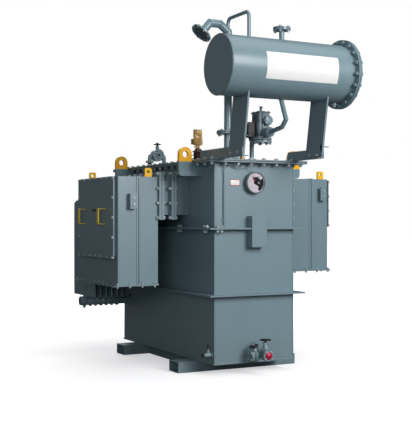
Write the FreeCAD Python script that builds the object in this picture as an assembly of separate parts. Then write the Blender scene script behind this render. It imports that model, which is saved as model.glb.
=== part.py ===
"""Oil-filled power transformer with two side cable boxes, radiators and a conservator.

Millimetres. X runs across the tank, Y along it (the conservator is at -Y), Z is up from the ground.
Each piece is one STEP file in parts/, named after its node. Everything is drawn about the middle of
the tank, and then moved so that the origin is at the middle of the whole footprint, on the ground.
"""
import FreeCAD, Part
import math
import os
from dataclasses import dataclass

Vector = FreeCAD.Vector
X_AXIS = Vector(1, 0, 0)
Y_AXIS = Vector(0, 1, 0)
Z_AXIS = Vector(0, 0, 1)

# ---- Underbase: two hollow cross skids and two runners between them
SKID_HEIGHT = 82.0
SKID_WIDTH = 160.0
SKID_WALL = 6.0
SKID_SETBACK = 326.0  # end wall of the tank to the middle of a skid
SKID_OVERHANG = 177.0  # past each side wall
RUNNER_WIDTH = 75.0
RUNNER_INSET = 60.0  # side wall to the runner's outer face

# ---- Tank
TANK_WIDTH = 690.0
TANK_LENGTH = 1714.0
TANK_HEIGHT = 1508.0  # floor plate to the top of the walls
TANK_WALL = 6.0
FLOOR_THICKNESS = 10.0
FLOOR_LEDGE = 8.0
RIM_OVERHANG = 80.0
RIM_THICKNESS = 12.0
COVER_THICKNESS = 12.0
STIFFENER_DEPTH = 70.0
STIFFENER_THICKNESS = 12.0
LOWER_STIFFENER_RISE = 500.0  # floor plate to the bar's underside
UPPER_STIFFENER_DROP = 511.0  # top of the walls to the bar's underside

HALF_WIDTH = TANK_WIDTH / 2
HALF_LENGTH = TANK_LENGTH / 2
FLOOR_TOP = SKID_HEIGHT + FLOOR_THICKNESS
WALL_TOP = FLOOR_TOP + TANK_HEIGHT
RIM_UNDER = WALL_TOP - RIM_THICKNESS
COVER_TOP = WALL_TOP + COVER_THICKNESS
UPPER_STIFFENER_Z = WALL_TOP - UPPER_STIFFENER_DROP

# ---- Channel bracket on the front wall, notched over the upper stiffener
BRACKET_WIDTH = 130.0
BRACKET_HEIGHT = 234.0
BRACKET_STANDOFF = 76.0
BRACKET_WALL = 6.0
BRACKET_BELOW = 134.0  # stiffener's underside to the bracket's foot
NOTCH_CLEARANCE = 0.3

# ---- Lifting lugs of the tank
FRONT_LUG_SETBACK = 212.0  # end wall to the middle of a lug
REAR_LUG_SETBACK = 257.0
LUG_THICKNESS = 25.0
LUG_REACH = 195.0
LUG_DROP = 97.0  # rim's underside to the lug's foot
LUG_EYE_WIDTH = 110.0
LUG_EYE_RISE = 98.0  # above the cover
LUG_HOLE_RADIUS = 23.0
LUG_CORNER = 30.0

# ---- Throats from the tank to the cable boxes
THROAT_LENGTH = 117.0
THROAT_HALF = 406.0
THROAT_HEIGHT = 293.0
THROAT_WALL = 6.0
FLANGE_THICKNESS = 21.0
FLANGE_MARGIN_Y = 50.0
FLANGE_MARGIN_Z = 38.0
NECK_LENGTH = 62.0
THROAT_TOP = RIM_UNDER - LUG_DROP
THROAT_FOOT = THROAT_TOP - THROAT_HEIGHT
BOX_START = HALF_WIDTH + THROAT_LENGTH + NECK_LENGTH + 4 * FLANGE_THICKNESS

# ---- Cable boxes
BOX_SIDE_STEP = 24.0  # throat's side to the box's side
BOX_HALF = THROAT_HALF + BOX_SIDE_STEP
BOX_WALL = 5.0
STRAP_WIDTH = 34.0
STRAP_PROUD = 4.0
COLLAR_DEPTH = 24.0
COLLAR_WIDTH = 22.0
COVER_LIP = 18.0  # cover's edge past the collar
COVER_PLATE = 8.0
COVER_FRONT_INSET = 17.0  # box's side to the cover's edge
COVER_REAR_INSET = 99.0
GLAND_THICKNESS = 8.0
FOOT_FLANGE = 14.0
GLAND_REACH = 34.0  # past the box's outer face

BOX_LUG_WIDTH = 58.0
BOX_LUG_HEIGHT = 66.0
BOX_LUG_THICKNESS = 14.0
BOX_LUG_HOLE = 11.0

HANDLE_GRIP = 122.0
HANDLE_STANDOFF = 56.0
HANDLE_BAR = 6.0
HANDLE_WIDTH = 28.0
HANDLE_BEND = 12.0
HANDLE_SPACING = 418.0
HANDLE_OFFSET = -24.0
HANDLE_DROP = 242.0  # box's roof to the grip's top

PAD_WIDTH = 58.0
PAD_HEIGHT = 115.0
PAD_STANDOFF = 46.0
PAD_PLATE = 10.0
PAD_HOLE_RADIUS = 7.0
PAD_HOLE_SPACING = 46.0

# ---- Radiators
HEADER_RADIUS = 39.5
HEADER_SPACING = 900.0
HEADER_DROP = 238.0  # rim's underside to the upper header's axis
HEADER_SETBACK = 83.0  # rear wall back to the header's axis
HEADER_END = 43.0  # past the outermost fin's middle
FIN_COUNT = 7
FIN_FIRST = 113.0  # side wall to the first fin's middle
FIN_PITCH = 50.0
FIN_THICKNESS = 14.0
FIN_WIDTH = 520.0
FIN_HEIGHT = 810.0
FIN_SHOULDER = 60.0
FIN_SHOULDER_DROP = 26.0
COLLAR_WIDTH_ROUND = 10.5  # header's skin to the collar's edge
COLLAR_RADIUS = HEADER_RADIUS + COLLAR_WIDTH_ROUND
COLLAR_ROOT = 95.0
WELD_GAP = 0.2

# ---- Conservator and its supports
CONSERVATOR_RADIUS = 213.5
CONSERVATOR_LENGTH = 1032.0
CONSERVATOR_WALL = 5.0
CONSERVATOR_RISE = 631.0  # above the cover
CONSERVATOR_REACH = 383.0  # in front of the front wall
END_PLATE = 6.0
END_FLANGE_WIDTH = 42.5
END_FLANGE_RADIUS = CONSERVATOR_RADIUS + END_FLANGE_WIDTH
END_FLANGE_THICKNESS = 14.0
ARM_INNER = 340.0  # middle of the tank to a leg's outer face
ARM_HEIGHT = 74.0
ARM_FOOT = 50.0
ARM_PLATE = 6.0
RIGHT_ARM_START = 68.0  # behind the front wall
LEFT_ARM_START = 228.0
LEG_WIDTH = 213.0
LEG_FOOT_REACH = 199.0  # front wall to the foot's rear corner
LEG_LEAN = 82.0
LEG_DEPTH = 14.0
LEG_PLATE = 6.0
LEG_HEIGHT = 470.0
FILLER_RADIUS = 19.5
FILLER_HEIGHT = 92.0
FILLER_FLANGE_RADIUS = 64.0
FILLER_FLANGE = 11.0

CONSERVATOR_Y = -(HALF_LENGTH + CONSERVATOR_REACH)
CONSERVATOR_Z = COVER_TOP + CONSERVATOR_RISE
SHELL_END = CONSERVATOR_LENGTH / 2

# ---- Explosion vent and equalizer pipe
VENT_X = -226.0
VENT_BEHIND = 7.0  # front wall back to the pipe's axis
VENT_RADIUS = 30.0
VENT_HEIGHT = 953.0
VENT_RISE = 52.0
VENT_RUN = 70.0
VENT_LEVEL = 83.0
VENT_DROP = (-45.0, -51.0)
VENT_FLANGE_HEIGHT = 201.0
VENT_FLANGE_RADIUS = 86.0
VENT_FLANGE = 12.0
VENT_FOOT_RADIUS = 62.0
BELL_RADIUS = 82.0
BELL_DEPTH = 34.0
BELL_FLANGE = 12.0
EQUALIZER_RADIUS = 13.5
EQUALIZER_TOP = 1050.0  # above the cover
EQUALIZER_BEND = 42.0
EQUALIZER_FOOT = 80.0  # conservator's axis back to the pipe's foot

VENT_Y = -(HALF_LENGTH - VENT_BEHIND)

# ---- Gas relay between the tank and the conservator
RELAY_PIPE_RADIUS = 17.0
RELAY_RISER_SETBACK = 42.0
RELAY_RISER_HEIGHT = 195.0
RELAY_FRONT = 149.0  # front wall to the relay's front face
RELAY_LENGTH = 111.0
RELAY_LEFT = 50.0
RELAY_RIGHT = 45.0
RELAY_FLOOR = 161.0  # cover to the casing's underside
RELAY_HEIGHT = 190.0
RELAY_FLANGE_RADIUS = 80.0
RELAY_FLANGE = 16.0
RELAY_BOSS_RADIUS = 34.0
RELAY_BOSS_RISE = 287.0
RELAY_BOSS_X = 15.0
RELAY_BOSS_REACH = 40.0  # from inside the casing
RELAY_OUTLET_RISE = 196.0
RELAY_OUTLET_REACH = 90.0  # from inside the casing
RELAY_COCK_HEIGHT = 40.0
OUTLET_FOOT_BEND = (-5.0, 22.0)  # y from the conservator's axis, z from the outlet
OUTLET_HEAD_BEND = (-58.0, 72.0)
OUTLET_END = 9.0  # behind the conservator's axis
RELAY_BOX_SIZE = (64.0, 70.0, 114.0)
RELAY_BOX_LIFT = 1.0  # casing's underside to the box
CASING_ROUND = 10.0

RELAY_FRONT_Y = -(HALF_LENGTH + RELAY_FRONT)
RELAY_REAR_Y = RELAY_FRONT_Y + RELAY_LENGTH

# ---- Valves: a gate valve's stem turns in its bonnet and carries the handwheel
STEM_RADIUS = 7.0
STEM_CLEARANCE = 0.05
STEM_ENGAGED = 26.0
WHEEL_GAP = 8.0  # bonnet's top to the hub
WHEEL_HUB_HEIGHT = 18.0
WHEEL_HUB_RADIUS = 13.0

DRAIN_X = 15.0
DRAIN_RISE = 60.0  # floor plate to the valve's axis
DRAIN_BODY_REACH = 133.0
DRAIN_BONNET_TOP = 96.0
DRAIN_WALL_FLANGE = (45.0, 32.0)  # radius and thickness
DRAIN_BODY_RADIUS = 27.0
DRAIN_FRONT_REACH = 34.0  # body's middle to the front flange
DRAIN_FRONT_FLANGE = (42.0, 14.0)
DRAIN_CHAMBER_RADIUS = 29.0
DRAIN_CHAMBER = (-34.0, 42.0)
DRAIN_BONNET_FLANGE_RADIUS = 36.0
DRAIN_BONNET_FLANGE = (36.0, 48.0)
DRAIN_BONNET_RADIUS = 26.0
DRAIN_GLAND_RADIUS = 16.0
DRAIN_GLAND_HEIGHT = 18.0
CAP_RADIUS = 24.0
CAP_HEIGHT = 26.0
CAP_DOME_RADIUS = 40.0
CAP_DOME_DEPTH = 20.0  # cap's face back to the dome's centre
DRAIN_WHEEL_RADIUS = 44.0
SAMPLING_X = -36.0
SAMPLING_DROP = 8.0  # below the drain valve's axis
SAMPLING_PIPE_RADIUS = 17.0
SAMPLING_BODY_RADIUS = 25.0
SAMPLING_BODY = (-27.0, 24.0)
SAMPLING_BONNET_RADIUS = 18.5
SAMPLING_GLAND_RADIUS = 14.0
SAMPLING_GLAND = (14.0, 22.0)  # below the bonnet's top: end of the bonnet, foot of the gland
SAMPLING_FLANGE_REACH = 42.0
SAMPLING_FLANGE = (42.0, 14.0)  # radius and thickness
SAMPLING_REACH = 88.0
SAMPLING_TILT = 18.0
SAMPLING_BONNET_TOP = 60.0
SAMPLING_WHEEL_RADIUS = 37.0
FILTER_X = -183.0
FILTER_SETBACK = 351.0  # rear wall to the valve
FILTER_RISE = 112.0
FILTER_BONNET_TOP = 78.0
FILTER_WHEEL_RADIUS = 32.0
FILTER_BODY_RADIUS = 54.0
FILTER_PIPE_RADIUS = 17.0
FILTER_LEGS = (-72.0, 65.0)  # x of both pipes from the valve's middle
FILTER_BODY_HALF = 30.0
FILTER_BOSS_REACH = 38.0
FILTER_BONNET_RADIUS = 15.0
FILTER_FOOT = 12.0
FILTER_JOINT = (44.0, 62.0)  # foot and head of the flanges in the left pipe

DRAIN_Y = -(HALF_LENGTH + DRAIN_BODY_REACH)
DRAIN_Z = FLOOR_TOP + DRAIN_RISE
SAMPLING_Y = -(HALF_LENGTH + SAMPLING_REACH)
FILTER_Y = HALF_LENGTH - FILTER_SETBACK
FILTER_Z = COVER_TOP + FILTER_RISE

# ---- Neutral bushing, thermometer and small fittings
BUSHING_X = -200.0
BUSHING_SETBACK = 553.0
BUSHING_SHED_RADIUS = 52.0
BUSHING_HEIGHT = 118.0
BUSHING_SHEDS = (30.0, 58.0, 86.0)  # heights of the sheds' lower roots
SHED_EDGE = (4.0, 9.0)
SHED_PITCH = 20.0
BUSHING_BASE = 14.0
PALM_WIDTH = 72.0
PALM_HEIGHT = 128.0
PALM_THICKNESS = 12.0
PALM_HOLE_RADIUS = 7.0
PALM_HOLE_SPACING = 40.0
PALM_RISE = 24.0  # bushing's top to the palm's lower edge
PALM_HOLES_MIDDLE = 90.0  # above the palm's lower edge
PALM_STEM_RADIUS = 13.0
PALM_STEM_HEIGHT = 40.0
CLAMP_HALF = 17.0
CLAMP_REACH = 14.0
CLAMP_HEIGHTS = (8.0, 52.0)
DIAL_X = -12.0
DIAL_RADIUS = 81.0
DIAL_DEPTH = 46.0
DIAL_DROP = 160.0  # top of the walls to the dial's middle
DIAL_BRACKET = 12.0
DIAL_RECESS = 8.0
DIAL_BEZEL = 7.0
POCKET_X = -98.0
POCKET_SETBACK = 20.0
POCKET_BASE = (22.0, 16.0)  # radius and height
POCKET_BODY = (15.0, 44.0)
CAPILLARY_X = -268.0
CAPILLARY_RADIUS = 7.0
CAPILLARY_STANDOFF = 8.0
CLIP_HALF_WIDTH = 15.0
CLIP_HALF_HEIGHT = 10.0
CLIP_FROM_END = 60.0
EARTH_SETBACK = 38.0
EARTH_RISE = 64.0
EARTH_REACH = 64.0
EARTH_BODY_RADIUS = 16.0
EARTH_WALL_FLANGE = (28.0, 10.0)  # radius and thickness
EARTH_PLUG = (12.0, 18.0)
EARTH_ROD = (7.0, 78.0)
EARTH_GLAND_RADIUS = 12.0
EARTH_GLAND = (10.0, 34.0)


# ---------------------------------------------------------------- basic shapes
def block(x0, x1, y0, y1, z0, z1):
    """Box between two opposite corners, given in any order."""
    low = Vector(min(x0, x1), min(y0, y1), min(z0, z1))
    return Part.makeBox(abs(x1 - x0), abs(y1 - y0), abs(z1 - z0), low)


def rod(start, end, radius):
    """Solid round bar from start to end."""
    return Part.makeCylinder(radius, (end - start).Length, start, end - start)


def cone(start, end, radius_start, radius_end):
    """Solid cone frustum from start to end."""
    return Part.makeCone(radius_start, radius_end, (end - start).Length, start, end - start)


def fuse(shapes):
    """One solid from shapes that meet."""
    joined = shapes[0].fuse(list(shapes[1:])) if len(shapes) > 1 else shapes[0]
    return joined.removeSplitter()


def prism(points, direction):
    """Solid swept from a closed flat outline."""
    outline = Part.makePolygon(list(points) + [points[0]])
    return Part.Face(outline).extrude(direction)


def mirror_x(shape):
    """The same piece on the other side of the tank."""
    return shape.mirror(Vector(0, 0, 0), X_AXIS)


def bent_pipe(points, radius, bend):
    """Round bar through the points, with an arc of the given radius at each corner."""
    edges = []
    start = points[0]
    for before, corner, after in zip(points, points[1:], points[2:]):
        incoming = (corner - before).normalize()
        outgoing = (after - corner).normalize()
        half_turn = incoming.getAngle(outgoing) / 2
        setback = bend * math.tan(half_turn)
        arc_start = corner - incoming * setback
        arc_end = corner + outgoing * setback
        inward = (outgoing - incoming).normalize()
        middle = corner + inward * (bend / math.cos(half_turn) - bend)
        edges.append(Part.LineSegment(start, arc_start).toShape())
        edges.append(Part.Arc(arc_start, middle, arc_end).toShape())
        start = arc_end
    edges.append(Part.LineSegment(start, points[-1]).toShape())
    profile = Part.Wire([Part.makeCircle(radius, points[0], points[1] - points[0])])
    return Part.Wire(edges).makePipeShell([profile], True, False)


def mitred_pipe(points, radius):
    """Round bar through the points, its straight pieces cut and welded at each corner."""
    path = Part.makePolygon(points)
    profile = Part.Wire([Part.makeCircle(radius, points[0], points[1] - points[0])])
    return path.makePipeShell([profile], True, False, 1)


def frame_ring(x0, x1, half_y, z0, z1, wall):
    """Rectangular tube along X with walls of the given thickness."""
    outer = block(x0, x1, -half_y, half_y, z0, z1)
    return outer.cut(block(x0, x1, -half_y + wall, half_y - wall, z0 + wall, z1 - wall))


# ---------------------------------------------------------------- underbase and tank
def skid(sign):
    """Hollow cross skid under one end of the tank."""
    y = sign * (HALF_LENGTH - SKID_SETBACK)
    reach = HALF_WIDTH + SKID_OVERHANG
    half = SKID_WIDTH / 2
    outer = block(-reach, reach, y - half, y + half, 0, SKID_HEIGHT)
    clear = half - SKID_WALL
    inner = block(-reach, reach, y - clear, y + clear, SKID_WALL, SKID_HEIGHT - SKID_WALL)
    return outer.cut(inner)


def runners():
    """The two runners between the skids, open channels facing inwards."""
    outer_x = HALF_WIDTH - RUNNER_INSET
    half_y = HALF_LENGTH - SKID_SETBACK - SKID_WIDTH / 2
    web = block(outer_x - RUNNER_WIDTH, outer_x, -half_y, half_y, 0, SKID_HEIGHT)
    hollow = block(
        outer_x - RUNNER_WIDTH, outer_x - SKID_WALL, -half_y, half_y, SKID_WALL, SKID_HEIGHT - SKID_WALL
    )
    right = web.cut(hollow)
    return [right, mirror_x(right)]


def tank_floor():
    x = HALF_WIDTH + FLOOR_LEDGE
    y = HALF_LENGTH + FLOOR_LEDGE
    return block(-x, x, -y, y, SKID_HEIGHT, FLOOR_TOP)


def end_wall(sign):
    """Front or rear wall, between the two side walls."""
    x = HALF_WIDTH - TANK_WALL
    return block(-x, x, sign * HALF_LENGTH, sign * (HALF_LENGTH - TANK_WALL), FLOOR_TOP, WALL_TOP)


def side_wall(sign):
    """Left or right wall, with the opening of its throat."""
    x0, x1 = sign * (HALF_WIDTH - TANK_WALL), sign * HALF_WIDTH
    wall = block(x0, x1, -HALF_LENGTH, HALF_LENGTH, FLOOR_TOP, WALL_TOP)
    half = THROAT_HALF - THROAT_WALL
    return wall.cut(block(x0, x1, -half, half, THROAT_FOOT + THROAT_WALL, THROAT_TOP - THROAT_WALL))


def edge_ring(depth, z0, z1):
    """Flat bar that runs round the outside of the tank."""
    x, y = HALF_WIDTH + depth, HALF_LENGTH + depth
    outer = block(-x, x, -y, y, z0, z1)
    return outer.cut(block(-HALF_WIDTH, HALF_WIDTH, -HALF_LENGTH, HALF_LENGTH, z0, z1))


def tank_cover():
    x, y = HALF_WIDTH + RIM_OVERHANG, HALF_LENGTH + RIM_OVERHANG
    return block(-x, x, -y, y, WALL_TOP, COVER_TOP)


def front_bracket():
    """Channel with its web to the front, its sides notched over the upper stiffener."""
    half = BRACKET_WIDTH / 2
    z0 = UPPER_STIFFENER_Z - BRACKET_BELOW
    front = -(HALF_LENGTH + BRACKET_STANDOFF)
    channel = block(-half, half, front, -HALF_LENGTH, z0, z0 + BRACKET_HEIGHT)
    hollow = block(
        -half + BRACKET_WALL, half - BRACKET_WALL, front + BRACKET_WALL, -HALF_LENGTH, z0, z0 + BRACKET_HEIGHT
    )
    notch = block(
        -half,
        half,
        -(HALF_LENGTH + STIFFENER_DEPTH + NOTCH_CLEARANCE),
        -HALF_LENGTH,
        UPPER_STIFFENER_Z - NOTCH_CLEARANCE,
        UPPER_STIFFENER_Z + STIFFENER_THICKNESS + NOTCH_CLEARANCE,
    )
    return channel.cut([hollow, notch])


def tank_lug(sign_x, sign_y):
    """Lifting lug: a plate under the rim that rises past the cover's edge to a round eye."""
    inner = HALF_WIDTH
    outer = HALF_WIDTH + LUG_REACH
    foot = RIM_UNDER - LUG_DROP
    eye_x = outer - LUG_EYE_WIDTH / 2
    eye_z = COVER_TOP + LUG_EYE_RISE - LUG_EYE_WIDTH / 2
    setback = FRONT_LUG_SETBACK if sign_y < 0 else REAR_LUG_SETBACK
    y0 = HALF_LENGTH - setback - LUG_THICKNESS / 2
    y1 = y0 + LUG_THICKNESS
    web = block(inner, outer, y0, y1, foot, RIM_UNDER)
    eye = block(outer - LUG_EYE_WIDTH, outer, y0, y1, RIM_UNDER, eye_z)
    head = rod(Vector(eye_x, y0, eye_z), Vector(eye_x, y1, eye_z), LUG_EYE_WIDTH / 2)
    plate = fuse([web, eye, head])
    corner = [e for e in plate.Edges if abs(e.BoundBox.XMin - outer) < 0.01 and e.BoundBox.ZMax < foot + 0.01]
    plate = plate.makeFillet(LUG_CORNER, corner)
    hole = rod(Vector(eye_x, y0 - 1, eye_z), Vector(eye_x, y1 + 1, eye_z), LUG_HOLE_RADIUS)
    plate = plate.cut(hole)
    if sign_y < 0:
        plate = plate.mirror(Vector(0, 0, 0), Y_AXIS)
    return mirror_x(plate) if sign_x < 0 else plate


# ---------------------------------------------------------------- throats and cable boxes
def duct(x0, x1):
    """Rectangular duct of the throat's section."""
    return frame_ring(x0, x1, THROAT_HALF, THROAT_FOOT, THROAT_TOP, THROAT_WALL)


def duct_flange(x0):
    """Bolting frame round the duct, one flange thick from x0."""
    half = THROAT_HALF + FLANGE_MARGIN_Y
    outer = block(
        x0, x0 + FLANGE_THICKNESS, -half, half, THROAT_FOOT - FLANGE_MARGIN_Z, THROAT_TOP + FLANGE_MARGIN_Z
    )
    inner = THROAT_HALF - THROAT_WALL
    hole = block(
        x0, x0 + FLANGE_THICKNESS, -inner, inner, THROAT_FOOT + THROAT_WALL, THROAT_TOP - THROAT_WALL
    )
    return outer.cut(hole)


def throat():
    """Duct welded to the tank, with its flange."""
    end = HALF_WIDTH + THROAT_LENGTH
    return fuse([duct(HALF_WIDTH, end), duct_flange(end)])


def neck():
    """Short duct with a flange at each end."""
    start = HALF_WIDTH + THROAT_LENGTH + FLANGE_THICKNESS
    duct_start = start + FLANGE_THICKNESS
    duct_end = duct_start + NECK_LENGTH
    return fuse([duct_flange(start), duct(duct_start, duct_end), duct_flange(duct_end)])


@dataclass(frozen=True)
class CableBox:
    """A cable box on one side of the tank, drawn on the right and mirrored for the left."""

    sign: int
    depth: float  # from its flange to its outer face
    foot_drop: float  # duct's foot down to the box's underside
    head_rise: float  # duct's top to the box's roof
    seam: float  # from its flange to the strap's middle
    cover_foot_rise: float  # box's underside to the cover's lower edge
    cover_head_rise: float  # box's roof to the cover's upper edge
    near_lug: float  # from its flange to the front lug's middle
    far_lug: float
    pad: float  # from its flange to the earth pad's middle
    pad_drop: float  # box's roof to the pad's top

    @property
    def outer(self):
        return BOX_START + self.depth

    @property
    def foot(self):
        return THROAT_FOOT - self.foot_drop

    @property
    def head(self):
        return THROAT_TOP + self.head_rise

    @property
    def cover_z(self):
        return self.foot + self.cover_foot_rise, self.head + self.cover_head_rise

    @property
    def cover_y(self):
        return COVER_FRONT_INSET - BOX_HALF, BOX_HALF - COVER_REAR_INSET

    def placed(self, shape):
        return mirror_x(shape) if self.sign < 0 else shape

    def shell(self):
        """Sheet box, open below and at its outer opening, with straps, foot flange and collar."""
        outer = block(BOX_START, self.outer, -BOX_HALF, BOX_HALF, self.foot, self.head)
        half = BOX_HALF - BOX_WALL
        hollow = block(
            BOX_START + BOX_WALL, self.outer - BOX_WALL, -half, half, self.foot, self.head - BOX_WALL
        )
        inner = THROAT_HALF - THROAT_WALL
        duct_hole = block(
            BOX_START, BOX_START + BOX_WALL, -inner, inner,
            THROAT_FOOT + THROAT_WALL, THROAT_TOP - THROAT_WALL,
        )
        z0, z1 = self.cover_z
        frame_y0, frame_y1 = self.cover_y[0] + COVER_LIP, self.cover_y[1] - COVER_LIP
        frame_z0 = z0 + COVER_LIP
        frame_z1 = min(z1 - COVER_LIP, self.head)
        opening = block(
            self.outer - BOX_WALL,
            self.outer + COLLAR_DEPTH,
            frame_y0 + COLLAR_WIDTH,
            frame_y1 - COLLAR_WIDTH,
            frame_z0 + COLLAR_WIDTH,
            frame_z1 - COLLAR_WIDTH,
        )
        collar = block(self.outer, self.outer + COLLAR_DEPTH, frame_y0, frame_y1, frame_z0, frame_z1)
        strap_x = BOX_START + self.seam - STRAP_WIDTH / 2
        strap_half = BOX_HALF + STRAP_PROUD
        strap = block(
            strap_x, strap_x + STRAP_WIDTH, -strap_half, strap_half, self.foot, self.head + STRAP_PROUD
        ).cut(outer)
        edge = BOX_HALF + FOOT_FLANGE
        flange = block(
            BOX_START, self.outer + FOOT_FLANGE, -edge, edge, self.foot, self.foot + GLAND_THICKNESS
        ).cut(outer)
        body = fuse([outer.cut(hollow), strap, flange, collar, duct_flange(BOX_START - FLANGE_THICKNESS)])
        return self.placed(body.cut([duct_hole, opening]))

    def cover(self):
        """Bolted plate over the collar."""
        start = self.outer + COLLAR_DEPTH
        return self.placed(block(start, start + COVER_PLATE, *self.cover_y, *self.cover_z))

    def handles(self):
        """Two grips of bent flat bar, side by side on the cover."""
        start = self.outer + COLLAR_DEPTH + COVER_PLATE
        top = self.head - HANDLE_DROP
        outline = block(start, start + HANDLE_STANDOFF, 0, HANDLE_WIDTH, top - HANDLE_GRIP, top)
        corners = [
            e for e in outline.Edges
            if abs(e.BoundBox.XMin - start - HANDLE_STANDOFF) < 0.01 and e.BoundBox.ZLength < 0.01
            and e.BoundBox.YLength > 1
        ]
        outline = outline.makeFillet(HANDLE_BEND, corners)
        inside = block(
            start - 1,
            start + HANDLE_STANDOFF - HANDLE_BAR,
            0,
            HANDLE_WIDTH,
            top - HANDLE_GRIP + HANDLE_BAR,
            top - HANDLE_BAR,
        )
        grip = outline.cut(inside)
        grips = []
        for side in (-1, 1):
            piece = grip.copy()
            piece.translate(Vector(0, HANDLE_OFFSET + side * HANDLE_SPACING / 2 - HANDLE_WIDTH / 2, 0))
            grips.append(self.placed(piece))
        return grips

    def gland_plate(self):
        """Bolted plate under the box that the cable glands go through."""
        edge = BOX_HALF + FOOT_FLANGE
        plate = block(
            BOX_START, self.outer + GLAND_REACH, -edge, edge, self.foot - GLAND_THICKNESS, self.foot
        )
        return self.placed(plate)

    def lug(self, x, y0):
        """Small lug that stands on the roof."""
        half = BOX_LUG_WIDTH / 2
        eye_z = self.head + BOX_LUG_HEIGHT - half
        y1 = y0 + BOX_LUG_THICKNESS
        corner = BOX_LUG_WIDTH / 4
        plate = block(x - half, x + half, y0, y1, self.head, self.head + BOX_LUG_HEIGHT)
        tops = [e for e in plate.Edges if e.BoundBox.ZMin > eye_z and e.BoundBox.YLength > 1]
        plate = plate.makeFillet(corner, tops)
        return self.placed(plate.cut(rod(Vector(x, y0 - 1, eye_z), Vector(x, y1 + 1, eye_z), BOX_LUG_HOLE)))

    def lugs(self):
        near = self.lug(BOX_START + self.near_lug, -BOX_HALF)
        far = self.lug(BOX_START + self.far_lug, BOX_HALF - BOX_LUG_THICKNESS)
        return [near, far]

    def earth_pad(self):
        """Two-hole earthing pad on a bracket in front of the box."""
        x = BOX_START + self.pad
        half = PAD_WIDTH / 2
        z1 = self.head - self.pad_drop
        z0 = z1 - PAD_HEIGHT
        front = -(BOX_HALF + PAD_STANDOFF)
        plate = block(x - half, x + half, front, front + PAD_PLATE, z0, z1)
        web = block(x + half - PAD_PLATE, x + half, front, -BOX_HALF, z0, z1)
        pad = fuse([plate, web])
        middle = (z0 + z1) / 2
        for z in (middle - PAD_HOLE_SPACING / 2, middle + PAD_HOLE_SPACING / 2):
            pad = pad.cut(rod(Vector(x, front - 1, z), Vector(x, front + PAD_PLATE + 1, z), PAD_HOLE_RADIUS))
        return self.placed(pad)


LEFT_BOX = CableBox(-1, 330.0, 534.0, -1.0, 162.0, 201.0, 0.0, 80.0, 210.0, 219.0, 131.0)
RIGHT_BOX = CableBox(1, 355.0, 460.0, 9.0, 195.0, 363.0, -9.0, 289.0, 92.0, 291.0, 67.0)


# ---------------------------------------------------------------- radiators
HEADER_Y = HALF_LENGTH - HEADER_SETBACK
HEADER_TOP_Z = RIM_UNDER - HEADER_DROP
HEADER_HEIGHTS = (HEADER_TOP_Z, HEADER_TOP_Z - HEADER_SPACING)
HEADER_END_X = HALF_WIDTH + FIN_FIRST + (FIN_COUNT - 1) * FIN_PITCH + HEADER_END


def fin(x):
    """One hollow plate of a radiator: a broad panel with a neck to each header."""
    middle = HEADER_TOP_Z - HEADER_SPACING / 2
    half_w, half_h = FIN_WIDTH / 2, FIN_HEIGHT / 2
    shoulder = half_w - FIN_SHOULDER
    x0 = x - FIN_THICKNESS / 2
    points = [
        (-half_w, -half_h), (-shoulder, -half_h - FIN_SHOULDER_DROP), (shoulder, -half_h - FIN_SHOULDER_DROP),
        (half_w, -half_h), (half_w, half_h), (shoulder, half_h + FIN_SHOULDER_DROP),
        (-shoulder, half_h + FIN_SHOULDER_DROP), (-half_w, half_h),
    ]
    panel = prism([Vector(x0, HEADER_Y + y, middle + z) for y, z in points], X_AXIS * FIN_THICKNESS)
    pieces = [panel]
    for z in HEADER_HEIGHTS:
        root_z = middle + math.copysign(half_h, z - middle)
        neck_points = [
            (HEADER_Y - COLLAR_ROOT, root_z), (HEADER_Y + COLLAR_ROOT, root_z),
            (HEADER_Y + COLLAR_RADIUS, z), (HEADER_Y - COLLAR_RADIUS, z),
        ]
        pieces.append(prism([Vector(x0, y, h) for y, h in neck_points], X_AXIS * FIN_THICKNESS))
        pieces.append(rod(Vector(x0, HEADER_Y, z), Vector(x0 + FIN_THICKNESS, HEADER_Y, z), COLLAR_RADIUS))
    plate = fuse(pieces)
    for z in HEADER_HEIGHTS:
        hole = rod(
            Vector(x0 - 1, HEADER_Y, z), Vector(x0 + FIN_THICKNESS + 1, HEADER_Y, z), HEADER_RADIUS + WELD_GAP
        )
        plate = plate.cut(hole)
    return plate


def radiator_fins(sign):
    fins = [fin(HALF_WIDTH + FIN_FIRST + i * FIN_PITCH) for i in range(FIN_COUNT)]
    return [mirror_x(f) for f in fins] if sign < 0 else fins


def radiator_headers():
    """Upper and lower header pipes of both radiators."""
    pipes = []
    for z in HEADER_HEIGHTS:
        pipe = rod(Vector(HALF_WIDTH, HEADER_Y, z), Vector(HEADER_END_X, HEADER_Y, z), HEADER_RADIUS)
        pipes += [pipe, mirror_x(pipe)]
    return pipes


# ---------------------------------------------------------------- conservator
def conservator_axis(x):
    return Vector(x, CONSERVATOR_Y, CONSERVATOR_Z)


def conservator_shell():
    outer = rod(conservator_axis(-SHELL_END), conservator_axis(SHELL_END), CONSERVATOR_RADIUS)
    bore = CONSERVATOR_RADIUS - CONSERVATOR_WALL
    inner = rod(conservator_axis(-SHELL_END - 1), conservator_axis(SHELL_END + 1), bore)
    return outer.cut(inner)


def conservator_left_end():
    return rod(conservator_axis(-SHELL_END - END_PLATE), conservator_axis(-SHELL_END), CONSERVATOR_RADIUS)


def conservator_flange():
    """Ring welded round the right end of the shell."""
    start = SHELL_END - END_FLANGE_THICKNESS
    ring = rod(conservator_axis(start), conservator_axis(SHELL_END), END_FLANGE_RADIUS)
    bore = rod(conservator_axis(start - 1), conservator_axis(SHELL_END + 1), CONSERVATOR_RADIUS)
    return ring.cut(bore)


def conservator_end_cover():
    outer = conservator_axis(SHELL_END + END_FLANGE_THICKNESS)
    return rod(conservator_axis(SHELL_END), outer, END_FLANGE_RADIUS)


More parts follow.
